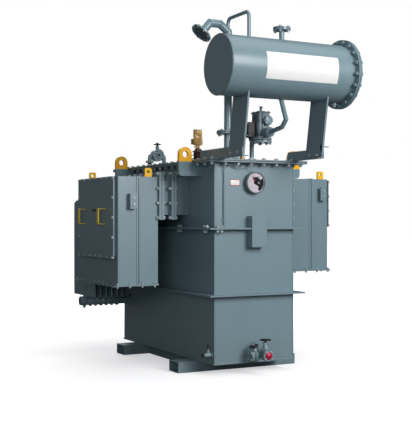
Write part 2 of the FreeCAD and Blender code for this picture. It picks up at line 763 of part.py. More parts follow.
def above_shell(x, y, height):
    """Point above the conservator's skin at x, y."""
    rise = math.sqrt(CONSERVATOR_RADIUS**2 - (y - CONSERVATOR_Y) ** 2)
    return Vector(x, y, CONSERVATOR_Z + rise + height)


def skin_cut():
    """What is cut from a piece that is seated on the conservator's skin."""
    return rod(conservator_axis(-SHELL_END), conservator_axis(SHELL_END), CONSERVATOR_RADIUS)


def filler():
    """Filling pipe with its blanked flange, on top of the shell."""
    foot = Vector(0, CONSERVATOR_Y, CONSERVATOR_Z + CONSERVATOR_RADIUS - CONSERVATOR_WALL)
    top = above_shell(0, CONSERVATOR_Y, FILLER_HEIGHT)
    pair = 2 * FILLER_FLANGE
    flange = rod(top - Z_AXIS * pair, top, FILLER_FLANGE_RADIUS)
    return fuse([rod(foot, top, FILLER_RADIUS), flange]).cut(skin_cut())


def arm(start):
    """Angle on the cover that carries a leg of the conservator, out past the front wall."""
    x0, x1 = ARM_INNER, ARM_INNER + ARM_PLATE
    y_back = -(HALF_LENGTH - start)
    y_front = -(HALF_LENGTH + LEG_FOOT_REACH + LEG_WIDTH + ARM_PLATE)
    web = block(x0, x1, y_front, y_back, COVER_TOP, COVER_TOP + ARM_HEIGHT)
    nose = [
        e for e in web.Edges
        if abs(e.BoundBox.YMax - y_front) < 0.01 and e.BoundBox.ZMin > COVER_TOP + 1
        and e.BoundBox.XLength > 1
    ]
    web = web.makeFillet(ARM_HEIGHT / 3, nose)
    foot = block(x1 - ARM_FOOT, x1, y_front, y_back, COVER_TOP, COVER_TOP + ARM_PLATE)
    return fuse([web, foot])


def arms():
    return [arm(RIGHT_ARM_START), mirror_x(arm(LEFT_ARM_START))]


def legs():
    """Leaning channels from the arms up to the conservator, cut to a saddle at the top."""
    z0 = COVER_TOP + ARM_PLATE
    z1 = z0 + LEG_HEIGHT
    y_rear = -(HALF_LENGTH + LEG_FOOT_REACH)
    y_front = y_rear - LEG_WIDTH
    outline = [
        Vector(ARM_INNER, y_rear, z0), Vector(ARM_INNER, y_front, z0),
        Vector(ARM_INNER, y_front - LEG_LEAN, z1), Vector(ARM_INNER, y_rear - LEG_LEAN, z1),
    ]
    slab = prism(outline, X_AXIS * -LEG_DEPTH)
    x = ARM_INNER - LEG_PLATE
    inner = [
        Vector(x, y_rear - LEG_PLATE, z0), Vector(x, y_front + LEG_PLATE, z0),
        Vector(x, y_front - LEG_LEAN + LEG_PLATE, z1), Vector(x, y_rear - LEG_LEAN - LEG_PLATE, z1),
    ]
    leg = slab.cut([prism(inner, X_AXIS * -LEG_DEPTH), skin_cut()])
    return [leg, mirror_x(leg)]


# ---------------------------------------------------------------- explosion vent
def vent_path():
    """Corners of the vent's axis: up, over to the left and down to the bell."""
    foot = Vector(VENT_X, VENT_Y, COVER_TOP)
    top = foot + Z_AXIS * VENT_HEIGHT
    shoulder = top + Vector(-VENT_RUN, 0, VENT_RISE)
    level = shoulder - X_AXIS * VENT_LEVEL
    return [foot, top, shoulder, level, level + Vector(VENT_DROP[0], 0, VENT_DROP[1])]


def vent_pipe():
    """Mitred pipe with a bolted flange pair low down and a flange at its foot."""
    path = vent_path()
    flange_z = path[0] + Z_AXIS * (VENT_FLANGE_HEIGHT - VENT_FLANGE)
    pair = rod(flange_z, flange_z + Z_AXIS * 2 * VENT_FLANGE, VENT_FLANGE_RADIUS)
    foot = rod(path[0], path[0] + Z_AXIS * VENT_FLANGE, VENT_FOOT_RADIUS)
    return fuse([mitred_pipe(path, VENT_RADIUS), pair, foot])


def vent_bell():
    """Cone and clamping flange at the vent's mouth, recessed over the diaphragm."""
    path = vent_path()
    mouth = path[-1]
    out = (path[-1] - path[-2]).normalize()
    flare = cone(mouth, mouth + out * BELL_DEPTH, VENT_RADIUS, BELL_RADIUS - BELL_FLANGE)
    rim = rod(mouth + out * BELL_DEPTH, mouth + out * (BELL_DEPTH + BELL_FLANGE), BELL_RADIUS)
    recess = rod(
        mouth + out * (BELL_DEPTH + BELL_FLANGE / 2), mouth + out * (BELL_DEPTH + BELL_FLANGE + 1),
        BELL_RADIUS - 2 * BELL_FLANGE,
    )
    return fuse([flare, rim]).cut(recess)


def equalizer_pipe():
    """Thin pipe from the vent's top over to the conservator."""
    top_z = COVER_TOP + EQUALIZER_TOP
    start = vent_path()[1]
    y_end = CONSERVATOR_Y + EQUALIZER_FOOT
    end = above_shell(VENT_X, y_end, -CONSERVATOR_WALL)
    points = [start, Vector(VENT_X, VENT_Y, top_z), Vector(VENT_X, y_end, top_z), end]
    return bent_pipe(points, EQUALIZER_RADIUS, EQUALIZER_BEND).cut([vent_pipe(), skin_cut()])


# ---------------------------------------------------------------- gas relay
def relay_body():
    """Casing with its base flanges, round front cover, outlet and petcock."""
    floor = COVER_TOP + RELAY_FLOOR
    casing = block(-RELAY_LEFT, RELAY_RIGHT, RELAY_FRONT_Y, RELAY_REAR_Y, floor, floor + RELAY_HEIGHT)
    casing = casing.makeFillet(CASING_ROUND, [e for e in casing.Edges if e.BoundBox.ZLength > 1])
    middle_y = (RELAY_FRONT_Y + RELAY_REAR_Y) / 2
    base = Vector(0, middle_y, floor - 2 * RELAY_FLANGE - RELAY_FLANGE / 4)
    lower = rod(base, base + Z_AXIS * RELAY_FLANGE, RELAY_FLANGE_RADIUS)
    upper = rod(base + Z_AXIS * RELAY_FLANGE * 1.25, base + Z_AXIS * RELAY_FLANGE * 2.25, RELAY_FLANGE_RADIUS)
    joint = rod(base, base + Z_AXIS * RELAY_FLANGE * 2.25, RELAY_FLANGE_RADIUS * 0.8)
    plug = rod(base - Z_AXIS * RELAY_FLANGE, base, RELAY_FLANGE / 2)
    boss_start = Vector(RELAY_BOSS_X, RELAY_FRONT_Y + CASING_ROUND, COVER_TOP + RELAY_BOSS_RISE)
    boss = rod(boss_start, boss_start - Y_AXIS * RELAY_BOSS_REACH, RELAY_BOSS_RADIUS)
    outlet_start = Vector(0, RELAY_FRONT_Y + CASING_ROUND, COVER_TOP + RELAY_OUTLET_RISE)
    outlet = rod(outlet_start, outlet_start - Y_AXIS * RELAY_OUTLET_REACH, RELAY_BOSS_RADIUS)
    top = Vector(0, middle_y, floor + RELAY_HEIGHT)
    cap = rod(top, top + Z_AXIS * CASING_ROUND, RELAY_BOSS_RADIUS)
    cock = rod(top, top + Z_AXIS * RELAY_COCK_HEIGHT, RELAY_FLANGE / 2)
    return fuse([casing, lower, upper, joint, plug, boss, outlet, cap, cock])


def relay_terminal_box():
    width, length, height = RELAY_BOX_SIZE
    z0 = COVER_TOP + RELAY_FLOOR + RELAY_BOX_LIFT
    box = block(-RELAY_LEFT - width, -RELAY_LEFT, RELAY_REAR_Y - length, RELAY_REAR_Y, z0, z0 + height)
    return box.makeFillet(CASING_ROUND / 2, [e for e in box.Edges if e.BoundBox.XLength > 1])


def relay_inlet_pipe():
    """Riser from the cover that turns into the rear of the relay."""
    y = -(HALF_LENGTH - RELAY_RISER_SETBACK)
    z = COVER_TOP + RELAY_RISER_HEIGHT
    points = [Vector(0, y, COVER_TOP), Vector(0, y, z), Vector(0, RELAY_REAR_Y, z)]
    foot = rod(points[0], points[0] + Z_AXIS * VENT_FLANGE, 2 * RELAY_PIPE_RADIUS)
    return fuse([bent_pipe(points, RELAY_PIPE_RADIUS, 1.5 * RELAY_PIPE_RADIUS), foot])


def relay_outlet_pipe():
    """Pipe from the relay's outlet forwards and up into the conservator."""
    z = COVER_TOP + RELAY_OUTLET_RISE
    start = Vector(0, RELAY_FRONT_Y + CASING_ROUND - RELAY_OUTLET_REACH, z)
    bends = [Vector(0, CONSERVATOR_Y + y, z + rise) for y, rise in (OUTLET_FOOT_BEND, OUTLET_HEAD_BEND)]
    end_z = CONSERVATOR_Z - CONSERVATOR_RADIUS + CONSERVATOR_WALL
    end = Vector(0, CONSERVATOR_Y + OUTLET_END, end_z)
    pipe = mitred_pipe([start, *bends, end], RELAY_PIPE_RADIUS)
    return pipe.cut([skin_cut(), relay_body()])


# ---------------------------------------------------------------- valves and handwheels
def handwheel(bonnet_top, axis, radius):
    """Handwheel with its stem, whose lower end turns in the bonnet's bore."""
    hub_foot = bonnet_top + axis * WHEEL_GAP
    hub_head = hub_foot + axis * WHEEL_HUB_HEIGHT
    middle = (hub_foot + hub_head) * 0.5
    rim = Part.makeTorus(radius - WHEEL_HUB_HEIGHT / 4, WHEEL_HUB_HEIGHT / 4, middle, axis)
    side = axis.cross(Y_AXIS).normalize()
    spokes = []
    for turn in range(4):
        angle = math.pi / 4 + turn * math.pi / 2
        direction = side * math.cos(angle) + Y_AXIS * math.sin(angle)
        spokes.append(rod(middle, middle + direction * (radius - WHEEL_HUB_HEIGHT / 4), WHEEL_HUB_HEIGHT / 5))
    hub = rod(hub_foot, hub_head, WHEEL_HUB_RADIUS)
    stem = rod(bonnet_top - axis * STEM_ENGAGED, hub_head + axis * STEM_RADIUS, STEM_RADIUS)
    return fuse([rim, hub, stem] + spokes)


def stem_bore(bonnet_top, axis):
    """Blind bore of a bonnet, a running clearance wider than the stem."""
    bottom = bonnet_top - axis * (STEM_ENGAGED + STEM_RADIUS)
    return rod(bottom, bonnet_top + axis, STEM_RADIUS + STEM_CLEARANCE)


def drain_top():
    return Vector(DRAIN_X, DRAIN_Y, DRAIN_Z + DRAIN_BONNET_TOP)


def drain_valve():
    """Gate valve on the front wall: wall flange, body, bonnet and front flange."""
    wall = Vector(DRAIN_X, -HALF_LENGTH, DRAIN_Z)
    middle = Vector(DRAIN_X, DRAIN_Y, DRAIN_Z)
    front = middle - Y_AXIS * DRAIN_FRONT_REACH
    top = drain_top()
    wall_radius, wall_thickness = DRAIN_WALL_FLANGE
    front_radius, front_thickness = DRAIN_FRONT_FLANGE
    chamber_foot, chamber_head = (middle + Z_AXIS * rise for rise in DRAIN_CHAMBER)
    flange_foot, flange_head = (middle + Z_AXIS * rise for rise in DRAIN_BONNET_FLANGE)
    gland_foot = top - Z_AXIS * DRAIN_GLAND_HEIGHT
    pieces = [
        rod(wall, wall - Y_AXIS * wall_thickness, wall_radius),
        rod(wall, front, DRAIN_BODY_RADIUS),
        rod(chamber_foot, chamber_head, DRAIN_CHAMBER_RADIUS),
        rod(flange_foot, flange_head, DRAIN_BONNET_FLANGE_RADIUS),
        cone(flange_head, gland_foot, DRAIN_BONNET_RADIUS, DRAIN_GLAND_RADIUS),
        rod(gland_foot, top, DRAIN_GLAND_RADIUS),
        rod(front, front - Y_AXIS * front_thickness, front_radius),
    ]
    return fuse(pieces).cut(stem_bore(top, Z_AXIS))


def drain_cap():
    """Domed transit plug in the drain valve's front flange."""
    face = Vector(DRAIN_X, DRAIN_Y - DRAIN_FRONT_REACH - DRAIN_FRONT_FLANGE[1], DRAIN_Z)
    ball = Part.makeSphere(CAP_DOME_RADIUS, face + Y_AXIS * CAP_DOME_DEPTH)
    disc = rod(face, face - Y_AXIS * CAP_HEIGHT, CAP_RADIUS)
    return disc.common(ball)


def tilted_axis():
    tilt = math.radians(SAMPLING_TILT)
    return Vector(-math.sin(tilt), 0, math.cos(tilt))


def sampling_middle():
    return Vector(SAMPLING_X, SAMPLING_Y, DRAIN_Z - SAMPLING_DROP)


def sampling_top():
    return sampling_middle() + tilted_axis() * SAMPLING_BONNET_TOP


def sampling_valve():
    """Small valve that branches off the drain line, its blank flange to the left."""
    middle = sampling_middle()
    axis = tilted_axis()
    top = sampling_top()
    saddle_radius = DRAIN_BODY_RADIUS + WELD_GAP
    branch_end = Vector(DRAIN_X - saddle_radius, SAMPLING_Y, middle.z)
    flange = middle - X_AXIS * SAMPLING_FLANGE_REACH
    radius, thickness = SAMPLING_FLANGE
    body_foot, body_head = (middle + axis * rise for rise in SAMPLING_BODY)
    bonnet_head, gland_foot = (top - axis * drop for drop in SAMPLING_GLAND)
    pieces = [
        rod(branch_end, flange, SAMPLING_PIPE_RADIUS),
        rod(body_foot, body_head, SAMPLING_BODY_RADIUS),
        rod(middle, bonnet_head, SAMPLING_BONNET_RADIUS),
        rod(gland_foot, top, SAMPLING_GLAND_RADIUS),
        rod(flange, flange - X_AXIS * thickness, radius),
    ]
    saddle = rod(Vector(DRAIN_X, -HALF_LENGTH, DRAIN_Z), Vector(DRAIN_X, DRAIN_Y, DRAIN_Z), saddle_radius)
    return fuse(pieces).cut([stem_bore(top, axis), saddle])


def filter_top():
    return Vector(FILTER_X, FILTER_Y, FILTER_Z + FILTER_BONNET_TOP)


def filter_valve():
    """Valve in an inverted U of pipe on the cover."""
    middle = Vector(FILTER_X, FILTER_Y, FILTER_Z)
    top = filter_top()
    left, right = (Vector(FILTER_X + x, FILTER_Y, COVER_TOP) for x in FILTER_LEGS)
    path = [left, left + Z_AXIS * FILTER_RISE, right + Z_AXIS * FILTER_RISE, right]
    rear = middle + Y_AXIS * FILTER_BODY_HALF
    joint_foot, joint_head = (left + Z_AXIS * rise for rise in FILTER_JOINT)
    pieces = [
        bent_pipe(path, FILTER_PIPE_RADIUS, 1.6 * FILTER_PIPE_RADIUS),
        rod(middle - Y_AXIS * FILTER_BODY_HALF, rear, FILTER_BODY_RADIUS),
        rod(middle - Y_AXIS * FILTER_BOSS_REACH, rear, FILTER_BODY_RADIUS * 0.45),
        rod(middle, top, FILTER_BONNET_RADIUS),
        rod(left, left + Z_AXIS * FILTER_FOOT, 2 * FILTER_PIPE_RADIUS),
        rod(right, right + Z_AXIS * FILTER_FOOT, 2 * FILTER_PIPE_RADIUS),
        rod(joint_foot, joint_head, 2 * FILTER_PIPE_RADIUS),
    ]
    return fuse(pieces).cut(stem_bore(top, Z_AXIS))


# ---------------------------------------------------------------- bushing, dial and small fittings
def bushing_foot():
    return Vector(BUSHING_X, -(HALF_LENGTH - BUSHING_SETBACK), COVER_TOP)


def neutral_bushing():
    """Porcelain with three sheds, turned round its own axis."""
    shed = BUSHING_SHED_RADIUS
    core = shed * 0.62
    profile = [(0, 0), (shed, 0), (shed, BUSHING_BASE), (core, SHED_PITCH)]
    edge_foot, edge_head = SHED_EDGE
    for level in BUSHING_SHEDS:
        profile += [(core, level), (shed, level + edge_foot), (shed, level + edge_head)]
        profile.append((core, level + SHED_PITCH))
    profile += [(core * 0.7, BUSHING_HEIGHT), (0, BUSHING_HEIGHT)]
    points = [Vector(r, 0, z) for r, z in profile]
    outline = Part.Face(Part.makePolygon(points + [points[0]]))
    porcelain = outline.revolve(Vector(0, 0, 0), Z_AXIS, 360)
    porcelain.translate(bushing_foot())
    return porcelain


def terminal_palm():
    """Brass stem, clamp and two-hole palm on the bushing."""
    foot = bushing_foot() + Z_AXIS * BUSHING_HEIGHT
    half = PALM_WIDTH / 2
    palm_z = foot.z + PALM_RISE
    clamp_foot, clamp_head = (palm_z + rise for rise in CLAMP_HEIGHTS)
    plate = block(
        foot.x - half, foot.x + half, foot.y - PALM_THICKNESS / 2, foot.y + PALM_THICKNESS / 2,
        palm_z, palm_z + PALM_HEIGHT,
    )
    clamp = block(
        foot.x - half - CLAMP_REACH, foot.x + half, foot.y - CLAMP_HALF, foot.y + CLAMP_HALF,
        clamp_foot, clamp_head,
    )
    palm = fuse([rod(foot, foot + Z_AXIS * PALM_STEM_HEIGHT, PALM_STEM_RADIUS), plate, clamp])
    middle = palm_z + PALM_HOLES_MIDDLE
    for z in (middle - PALM_HOLE_SPACING / 2, middle + PALM_HOLE_SPACING / 2):
        hole = rod(
            Vector(foot.x, foot.y - half, z), Vector(foot.x, foot.y + half, z), PALM_HOLE_RADIUS
        )
        palm = palm.cut(hole)
    return palm


def dial_thermometer():
    """Round case on a short bracket, its face recessed behind the bezel."""
    wall = Vector(DIAL_X, -HALF_LENGTH, WALL_TOP - DIAL_DROP)
    front = wall - Y_AXIS * DIAL_DEPTH
    case = rod(wall - Y_AXIS * DIAL_BRACKET, front, DIAL_RADIUS)
    bracket = block(
        wall.x - DIAL_RADIUS / 2, wall.x + DIAL_RADIUS / 2, wall.y - DIAL_BRACKET, wall.y,
        wall.z - DIAL_RADIUS / 2, wall.z + DIAL_RADIUS / 2,
    )
    recess = rod(front + Y_AXIS * DIAL_RECESS, front - Y_AXIS, DIAL_RADIUS - DIAL_BEZEL)
    return fuse([case, bracket]).cut(recess)


def thermometer_pocket():
    """Screwed pocket on the cover beside the front edge."""
    foot = Vector(POCKET_X, -(HALF_LENGTH - POCKET_SETBACK), COVER_TOP)
    return fuse([rod(foot, foot + Z_AXIS * height, radius) for radius, height in (POCKET_BASE, POCKET_BODY)])


def capillary_tube():
    """Protecting tube down the front wall, held off by two clips."""
    y = -(HALF_LENGTH + CAPILLARY_STANDOFF)
    top = Vector(CAPILLARY_X, y, RIM_UNDER)
    foot = Vector(CAPILLARY_X, y, UPPER_STIFFENER_Z + STIFFENER_THICKNESS)
    pieces = [rod(foot, top, CAPILLARY_RADIUS)]
    x0, x1 = CAPILLARY_X - CLIP_HALF_WIDTH, CAPILLARY_X + CLIP_HALF_WIDTH
    for z in (foot.z + CLIP_FROM_END, top.z - CLIP_FROM_END):
        pieces.append(block(x0, x1, y, -HALF_LENGTH, z - CLIP_HALF_HEIGHT, z + CLIP_HALF_HEIGHT))
    return fuse(pieces)


def earth_stub():
    """Plugged cock low on the left wall, near the front corner."""
    wall = Vector(-HALF_WIDTH, -(HALF_LENGTH - EARTH_SETBACK), FLOOR_TOP + EARTH_RISE)
    end = wall - X_AXIS * EARTH_REACH
    middle = (wall + end) * 0.5
    wall_radius, wall_thickness = EARTH_WALL_FLANGE
    plug_radius, plug_length = EARTH_PLUG
    rod_radius, rod_height = EARTH_ROD
    gland_foot, gland_head = (middle + Z_AXIS * rise for rise in EARTH_GLAND)
    pieces = [
        rod(wall, end, EARTH_BODY_RADIUS),
        rod(wall, wall - X_AXIS * wall_thickness, wall_radius),
        rod(end, end - X_AXIS * plug_length, plug_radius),
        rod(middle, middle + Z_AXIS * rod_height, rod_radius),
        rod(gland_foot, gland_head, EARTH_GLAND_RADIUS),
    ]
    return fuse(pieces)


# ---------------------------------------------------------------- all nodes
def build():
    """Every node's name and shape; a list of shapes becomes one node of separate solids."""
    left, right = LEFT_BOX, RIGHT_BOX
    lower_z = FLOOR_TOP + LOWER_STIFFENER_RISE
    return {
        "front_skid": skid(-1),
        "rear_skid": skid(1),
        "base_runners": runners(),
        "tank_floor": tank_floor(),
        "tank_front_wall": end_wall(-1),
        "tank_rear_wall": end_wall(1),
        "tank_left_wall": side_wall(-1),
        "tank_right_wall": side_wall(1),
        "tank_rim": edge_ring(RIM_OVERHANG, RIM_UNDER, WALL_TOP),
        "tank_cover": tank_cover(),
        "lower_stiffener": edge_ring(STIFFENER_DEPTH, lower_z, lower_z + STIFFENER_THICKNESS),
        "upper_stiffener": edge_ring(
            STIFFENER_DEPTH, UPPER_STIFFENER_Z, UPPER_STIFFENER_Z + STIFFENER_THICKNESS
        ),
        "front_bracket": front_bracket(),
        "tank_lugs": [tank_lug(sx, sy) for sx in (-1, 1) for sy in (-1, 1)],
        "left_throat": mirror_x(throat()),
        "right_throat": throat(),
        "throat_necks": [mirror_x(neck()), neck()],
        "left_cable_box": left.shell(),
        "right_cable_box": right.shell(),
        "left_box_cover": left.cover(),
        "right_box_cover": right.cover(),
        "box_handles": left.handles() + right.handles(),
        "left_gland_plate": left.gland_plate(),
        "right_gland_plate": right.gland_plate(),
        "box_lugs": left.lugs() + right.lugs(),
        "earth_pads": [left.earth_pad(), right.earth_pad()],
        "left_radiator_fins": radiator_fins(-1),
        "right_radiator_fins": radiator_fins(1),
        "radiator_headers": radiator_headers(),
        "conservator_shell": conservator_shell(),
        "conservator_left_end": conservator_left_end(),
        "conservator_flange": conservator_flange(),
        "conservator_end_cover": conservator_end_cover(),
        "filler": filler(),
        "conservator_arms": arms(),
        "conservator_legs": legs(),
        "vent_pipe": vent_pipe(),
        "vent_bell": vent_bell(),
        "equalizer_pipe": equalizer_pipe(),
        "relay_body": relay_body(),
        "relay_terminal_box": relay_terminal_box(),
        "relay_inlet_pipe": relay_inlet_pipe(),
        "relay_outlet_pipe": relay_outlet_pipe(),
        "drain_valve": drain_valve(),
        "drain_cap": drain_cap(),
        "drain_handwheel": handwheel(drain_top(), Z_AXIS, DRAIN_WHEEL_RADIUS),
        "sampling_valve": sampling_valve(),
        "sampling_handwheel": handwheel(sampling_top(), tilted_axis(), SAMPLING_WHEEL_RADIUS),
        "filter_valve": filter_valve(),
        "filter_handwheel": handwheel(filter_top(), Z_AXIS, FILTER_WHEEL_RADIUS),
        "neutral_bushing": neutral_bushing(),
        "terminal_palm": terminal_palm(),
        "dial_thermometer": dial_thermometer(),
        "thermometer_pocket": thermometer_pocket(),
        "capillary_tube": capillary_tube(),
        "earth_stub": earth_stub(),
    }


def footprint_shift(shapes):
    """Move that brings the middle of the whole footprint to the origin."""
    box = FreeCAD.BoundBox()
    for shape in shapes:
        box.add(shape.BoundBox)
    return Vector(-(box.XMin + box.XMax) / 2, -(box.YMin + box.YMax) / 2, 0)


def main():
    os.makedirs("parts", exist_ok=True)
    nodes = {}
    for name, made in build().items():
        nodes[name] = Part.makeCompound(made) if isinstance(made, list) else made
    shift = footprint_shift(nodes.values())
    for name, shape in nodes.items():
        shape.translate(shift)
        shape.exportStep(f"parts/{name}.step")
        print(f"{name}: {len(shape.Solids)} solids, {shape.Volume / 1e9:.5f} m3, valid {shape.isValid()}")
    print("footprint shift", shift)


main()
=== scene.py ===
"""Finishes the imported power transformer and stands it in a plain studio.

Everything is in metres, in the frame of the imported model. Each sub-assembly is a class whose fields
are its sizes; it finds its place from the boxes of the CAD nodes that it stands on.
"""
import logging
import math
from dataclasses import dataclass
from enum import Enum
from itertools import product
from typing import Callable, Iterable, Optional, Sequence, Union

import bmesh
import bpy
from mathutils import Matrix, Quaternion, Vector
from mathutils.geometry import interpolate_bezier


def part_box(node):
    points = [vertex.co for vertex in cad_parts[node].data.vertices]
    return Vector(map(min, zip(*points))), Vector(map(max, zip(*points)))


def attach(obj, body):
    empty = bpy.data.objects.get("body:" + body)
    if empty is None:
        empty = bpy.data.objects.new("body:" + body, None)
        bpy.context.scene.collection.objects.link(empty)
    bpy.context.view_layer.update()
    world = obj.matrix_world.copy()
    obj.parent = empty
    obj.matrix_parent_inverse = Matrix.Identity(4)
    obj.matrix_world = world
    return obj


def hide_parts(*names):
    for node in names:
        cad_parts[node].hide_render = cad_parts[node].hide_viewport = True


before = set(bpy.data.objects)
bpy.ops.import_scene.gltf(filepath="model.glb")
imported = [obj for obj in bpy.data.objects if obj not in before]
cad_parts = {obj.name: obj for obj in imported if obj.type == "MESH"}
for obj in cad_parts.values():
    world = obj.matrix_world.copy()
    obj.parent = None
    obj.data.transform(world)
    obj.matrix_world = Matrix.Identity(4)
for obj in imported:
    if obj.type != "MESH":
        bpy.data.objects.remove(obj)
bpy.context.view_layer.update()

X_AXIS, Y_AXIS, Z_AXIS = Vector((1, 0, 0)), Vector((0, 1, 0)), Vector((0, 0, 1))

log = logging.getLogger("transformer")
Colour = tuple[float, float, float, float]
Seat = tuple[Vector, Vector]
Run = tuple[Vector, Vector]


def vec(x: float, y: float, z: float) -> Vector:
    """Point or direction from its parts."""
    return Vector((x, y, z))


def rgb(red: float, green: float, blue: float) -> Colour:
    """Opaque colour from its linear parts."""
    return (red, green, blue, 1.0)


class Body(str, Enum):
    """The bodies that pieces ride on."""

    TANK = "tank"
    DRAIN = "drain_wheel"
    SAMPLING = "sampling_wheel"
    FILTER = "filter_wheel"


class Side(Enum):
    """The two sides of the tank, valued by the sign of X."""

    LEFT = -1
    RIGHT = 1

    @property
    def word(self) -> str:
        """The side's name, as it stands in node names."""
        return self.name.lower()


@dataclass(frozen=True)
class Span:
    """Box between a lowest and a highest corner."""

    low: Vector
    high: Vector

    @classmethod
    def of(cls, node: str) -> "Span":
        """Box of a CAD node."""
        return cls(*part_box(node))

    @property
    def middle(self) -> Vector:
        """Middle of the box."""
        return (self.low + self.high) / 2

    def face(self, sign: int) -> float:
        """X of the face on the given side."""
        return self.high.x if sign > 0 else self.low.x


TANK_MIDDLE = Span.of("tank_cover").middle


def at(x: float, y: float, z: float) -> Vector:
    """Point given from the middle of the tank's plan, at a height above the ground."""
    return Vector((TANK_MIDDLE.x + x, TANK_MIDDLE.y + y, z))


# ---------------------------------------------------------------- shader maths
class Wire:
    """One output of a node tree; arithmetic on it adds Math nodes."""

    def __init__(self, graph: "Graph", socket: bpy.types.NodeSocket) -> None:
        """Wraps a socket of a graph."""
        self.graph = graph
        self.socket = socket

    def _math(self, operation: str, first: "Value", second: "Value") -> "Wire":
        """Math node of two values."""
        return self.graph.node("ShaderNodeMath", {"operation": operation}, {0: first, 1: second})

    def __add__(self, other: "Value") -> "Wire":
        """Sum."""
        return self._math("ADD", self, other)

    __radd__ = __add__

    def __mul__(self, other: "Value") -> "Wire":
        """Product."""
        return self._math("MULTIPLY", self, other)

    __rmul__ = __mul__

    def __sub__(self, other: "Value") -> "Wire":
        """Difference."""
        return self._math("SUBTRACT", self, other)

    def __rsub__(self, other: "Value") -> "Wire":
        """Difference from a plain number."""
        return self._math("SUBTRACT", other, self)


Value = Union[float, Colour, Wire]


class Graph:
    """Node tree of one material, with one method that makes every node."""

    def __init__(self, material: bpy.types.Material) -> None:
        """Clears the material down to its shader.

        Args:
            material: The material whose nodes are made.
        """
        material.use_nodes = True
        self.tree = material.node_tree
        self.shader = next(n for n in self.tree.nodes if n.type == "BSDF_PRINCIPLED")
        self.place = self.node("ShaderNodeTexCoord", output="Object")

    def node(
        self,
        kind: str,
        settings: Optional[dict[str, object]] = None,
        inputs: Optional[dict[Union[int, str], Value]] = None,
        output: Union[int, str] = 0,
    ) -> Wire:
        """Adds a node.

        Args:
            kind: The node's type.
            settings: Its properties.
            inputs: Values or wires of its sockets, by number or name.
            output: The socket that is returned.

        Returns:
            The chosen output.
        """
        made = self.tree.nodes.new(kind)
        for name, value in (settings or {}).items():
            setattr(made, name, value)
        for name, value in (inputs or {}).items():
            self.join(value, made.inputs[name])
        return Wire(self, made.outputs[output])

    def join(self, value: Value, socket: bpy.types.NodeSocket) -> None:
        """Links a wire to a socket, or sets the socket's own value."""
        if isinstance(value, Wire):
            self.tree.links.new(value.socket, socket)
        else:
            socket.default_value = value

    def feed(self, **values: Value) -> None:
        """Sets or links sockets of the shader; an underscore stands for a space."""
        for name, value in values.items():
            self.join(value, self.shader.inputs[name.replace("_", " ")])

    def noise(self, scale: float, detail: float = 2.0, stretch: Sequence[float] = (1, 1, 1)) -> Wire:
        """Noise from 0 to 1.

        Args:
            scale: Features to the metre.
            detail: How many finer layers it has.
            stretch: Factor on each axis, small where the pattern runs long.

        Returns:
            The noise's value.
        """
        where = self.node("ShaderNodeMapping", {}, {"Vector": self.place, "Scale": tuple(stretch)})
        return self.node("ShaderNodeTexNoise", {}, {"Vector": where, "Scale": scale, "Detail": detail})

    def ramp(self, value: Wire, start: float, end: float) -> Wire:
        """Rises from 0 at start to 1 at end, and stays there."""
        inputs = {0: value, 1: start, 2: end, 3: 0.0, 4: 1.0}
        return self.node("ShaderNodeMapRange", {"clamp": True}, inputs)

    def part(self, axis: str) -> Wire:
        """X, Y or Z of the place on the surface."""
        return self.node("ShaderNodeSeparateXYZ", {}, {0: self.place}, axis)

    def mix(self, factor: Value, first: Value, second: Value) -> Wire:
        """First colour where the factor is 0, and second where it is 1."""
        return self.node("ShaderNodeMix", {"data_type": "RGBA"}, {0: factor, 6: first, 7: second}, 2)

    def scaled(self, colour: Value, factor: Value) -> Wire:
        """Colour made lighter or darker by a factor."""
        if not isinstance(colour, Wire):
            colour = colour[:3]
        return self.node("ShaderNodeVectorMath", {"operation": "SCALE"}, {0: colour, 3: factor})

    def relief(self, height: Wire, edge: float = 0.0) -> None:
        """Bump from a height in metres, over edges rounded by a small radius.

        Args:
            height: Height of the surface.
            edge: Radius that sharp edges are shaded with, or 0 for none.
        """
        inputs = {"Height": height, "Distance": 1.0, "Strength": 1.0}
        if edge:
            inputs["Normal"] = self.node("ShaderNodeBevel", {"samples": 4}, {"Radius": edge})
        self.feed(Normal=self.node("ShaderNodeBump", {}, inputs))


# ---------------------------------------------------------------- finishes
@dataclass(frozen=True)
class Finish:
    """A material with a name and the record's slot that it stands for."""

    name: str
    slot: str

    def material(self) -> bpy.types.Material:
        """The finish's material, made on its first use."""
        known = bpy.data.materials.get(self.name)
        if known is None:
            known = bpy.data.materials.new(self.name)
            self.paint(Graph(known))
        return known

    def paint(self, graph: Graph) -> None:
        """Makes the nodes."""
        raise NotImplementedError


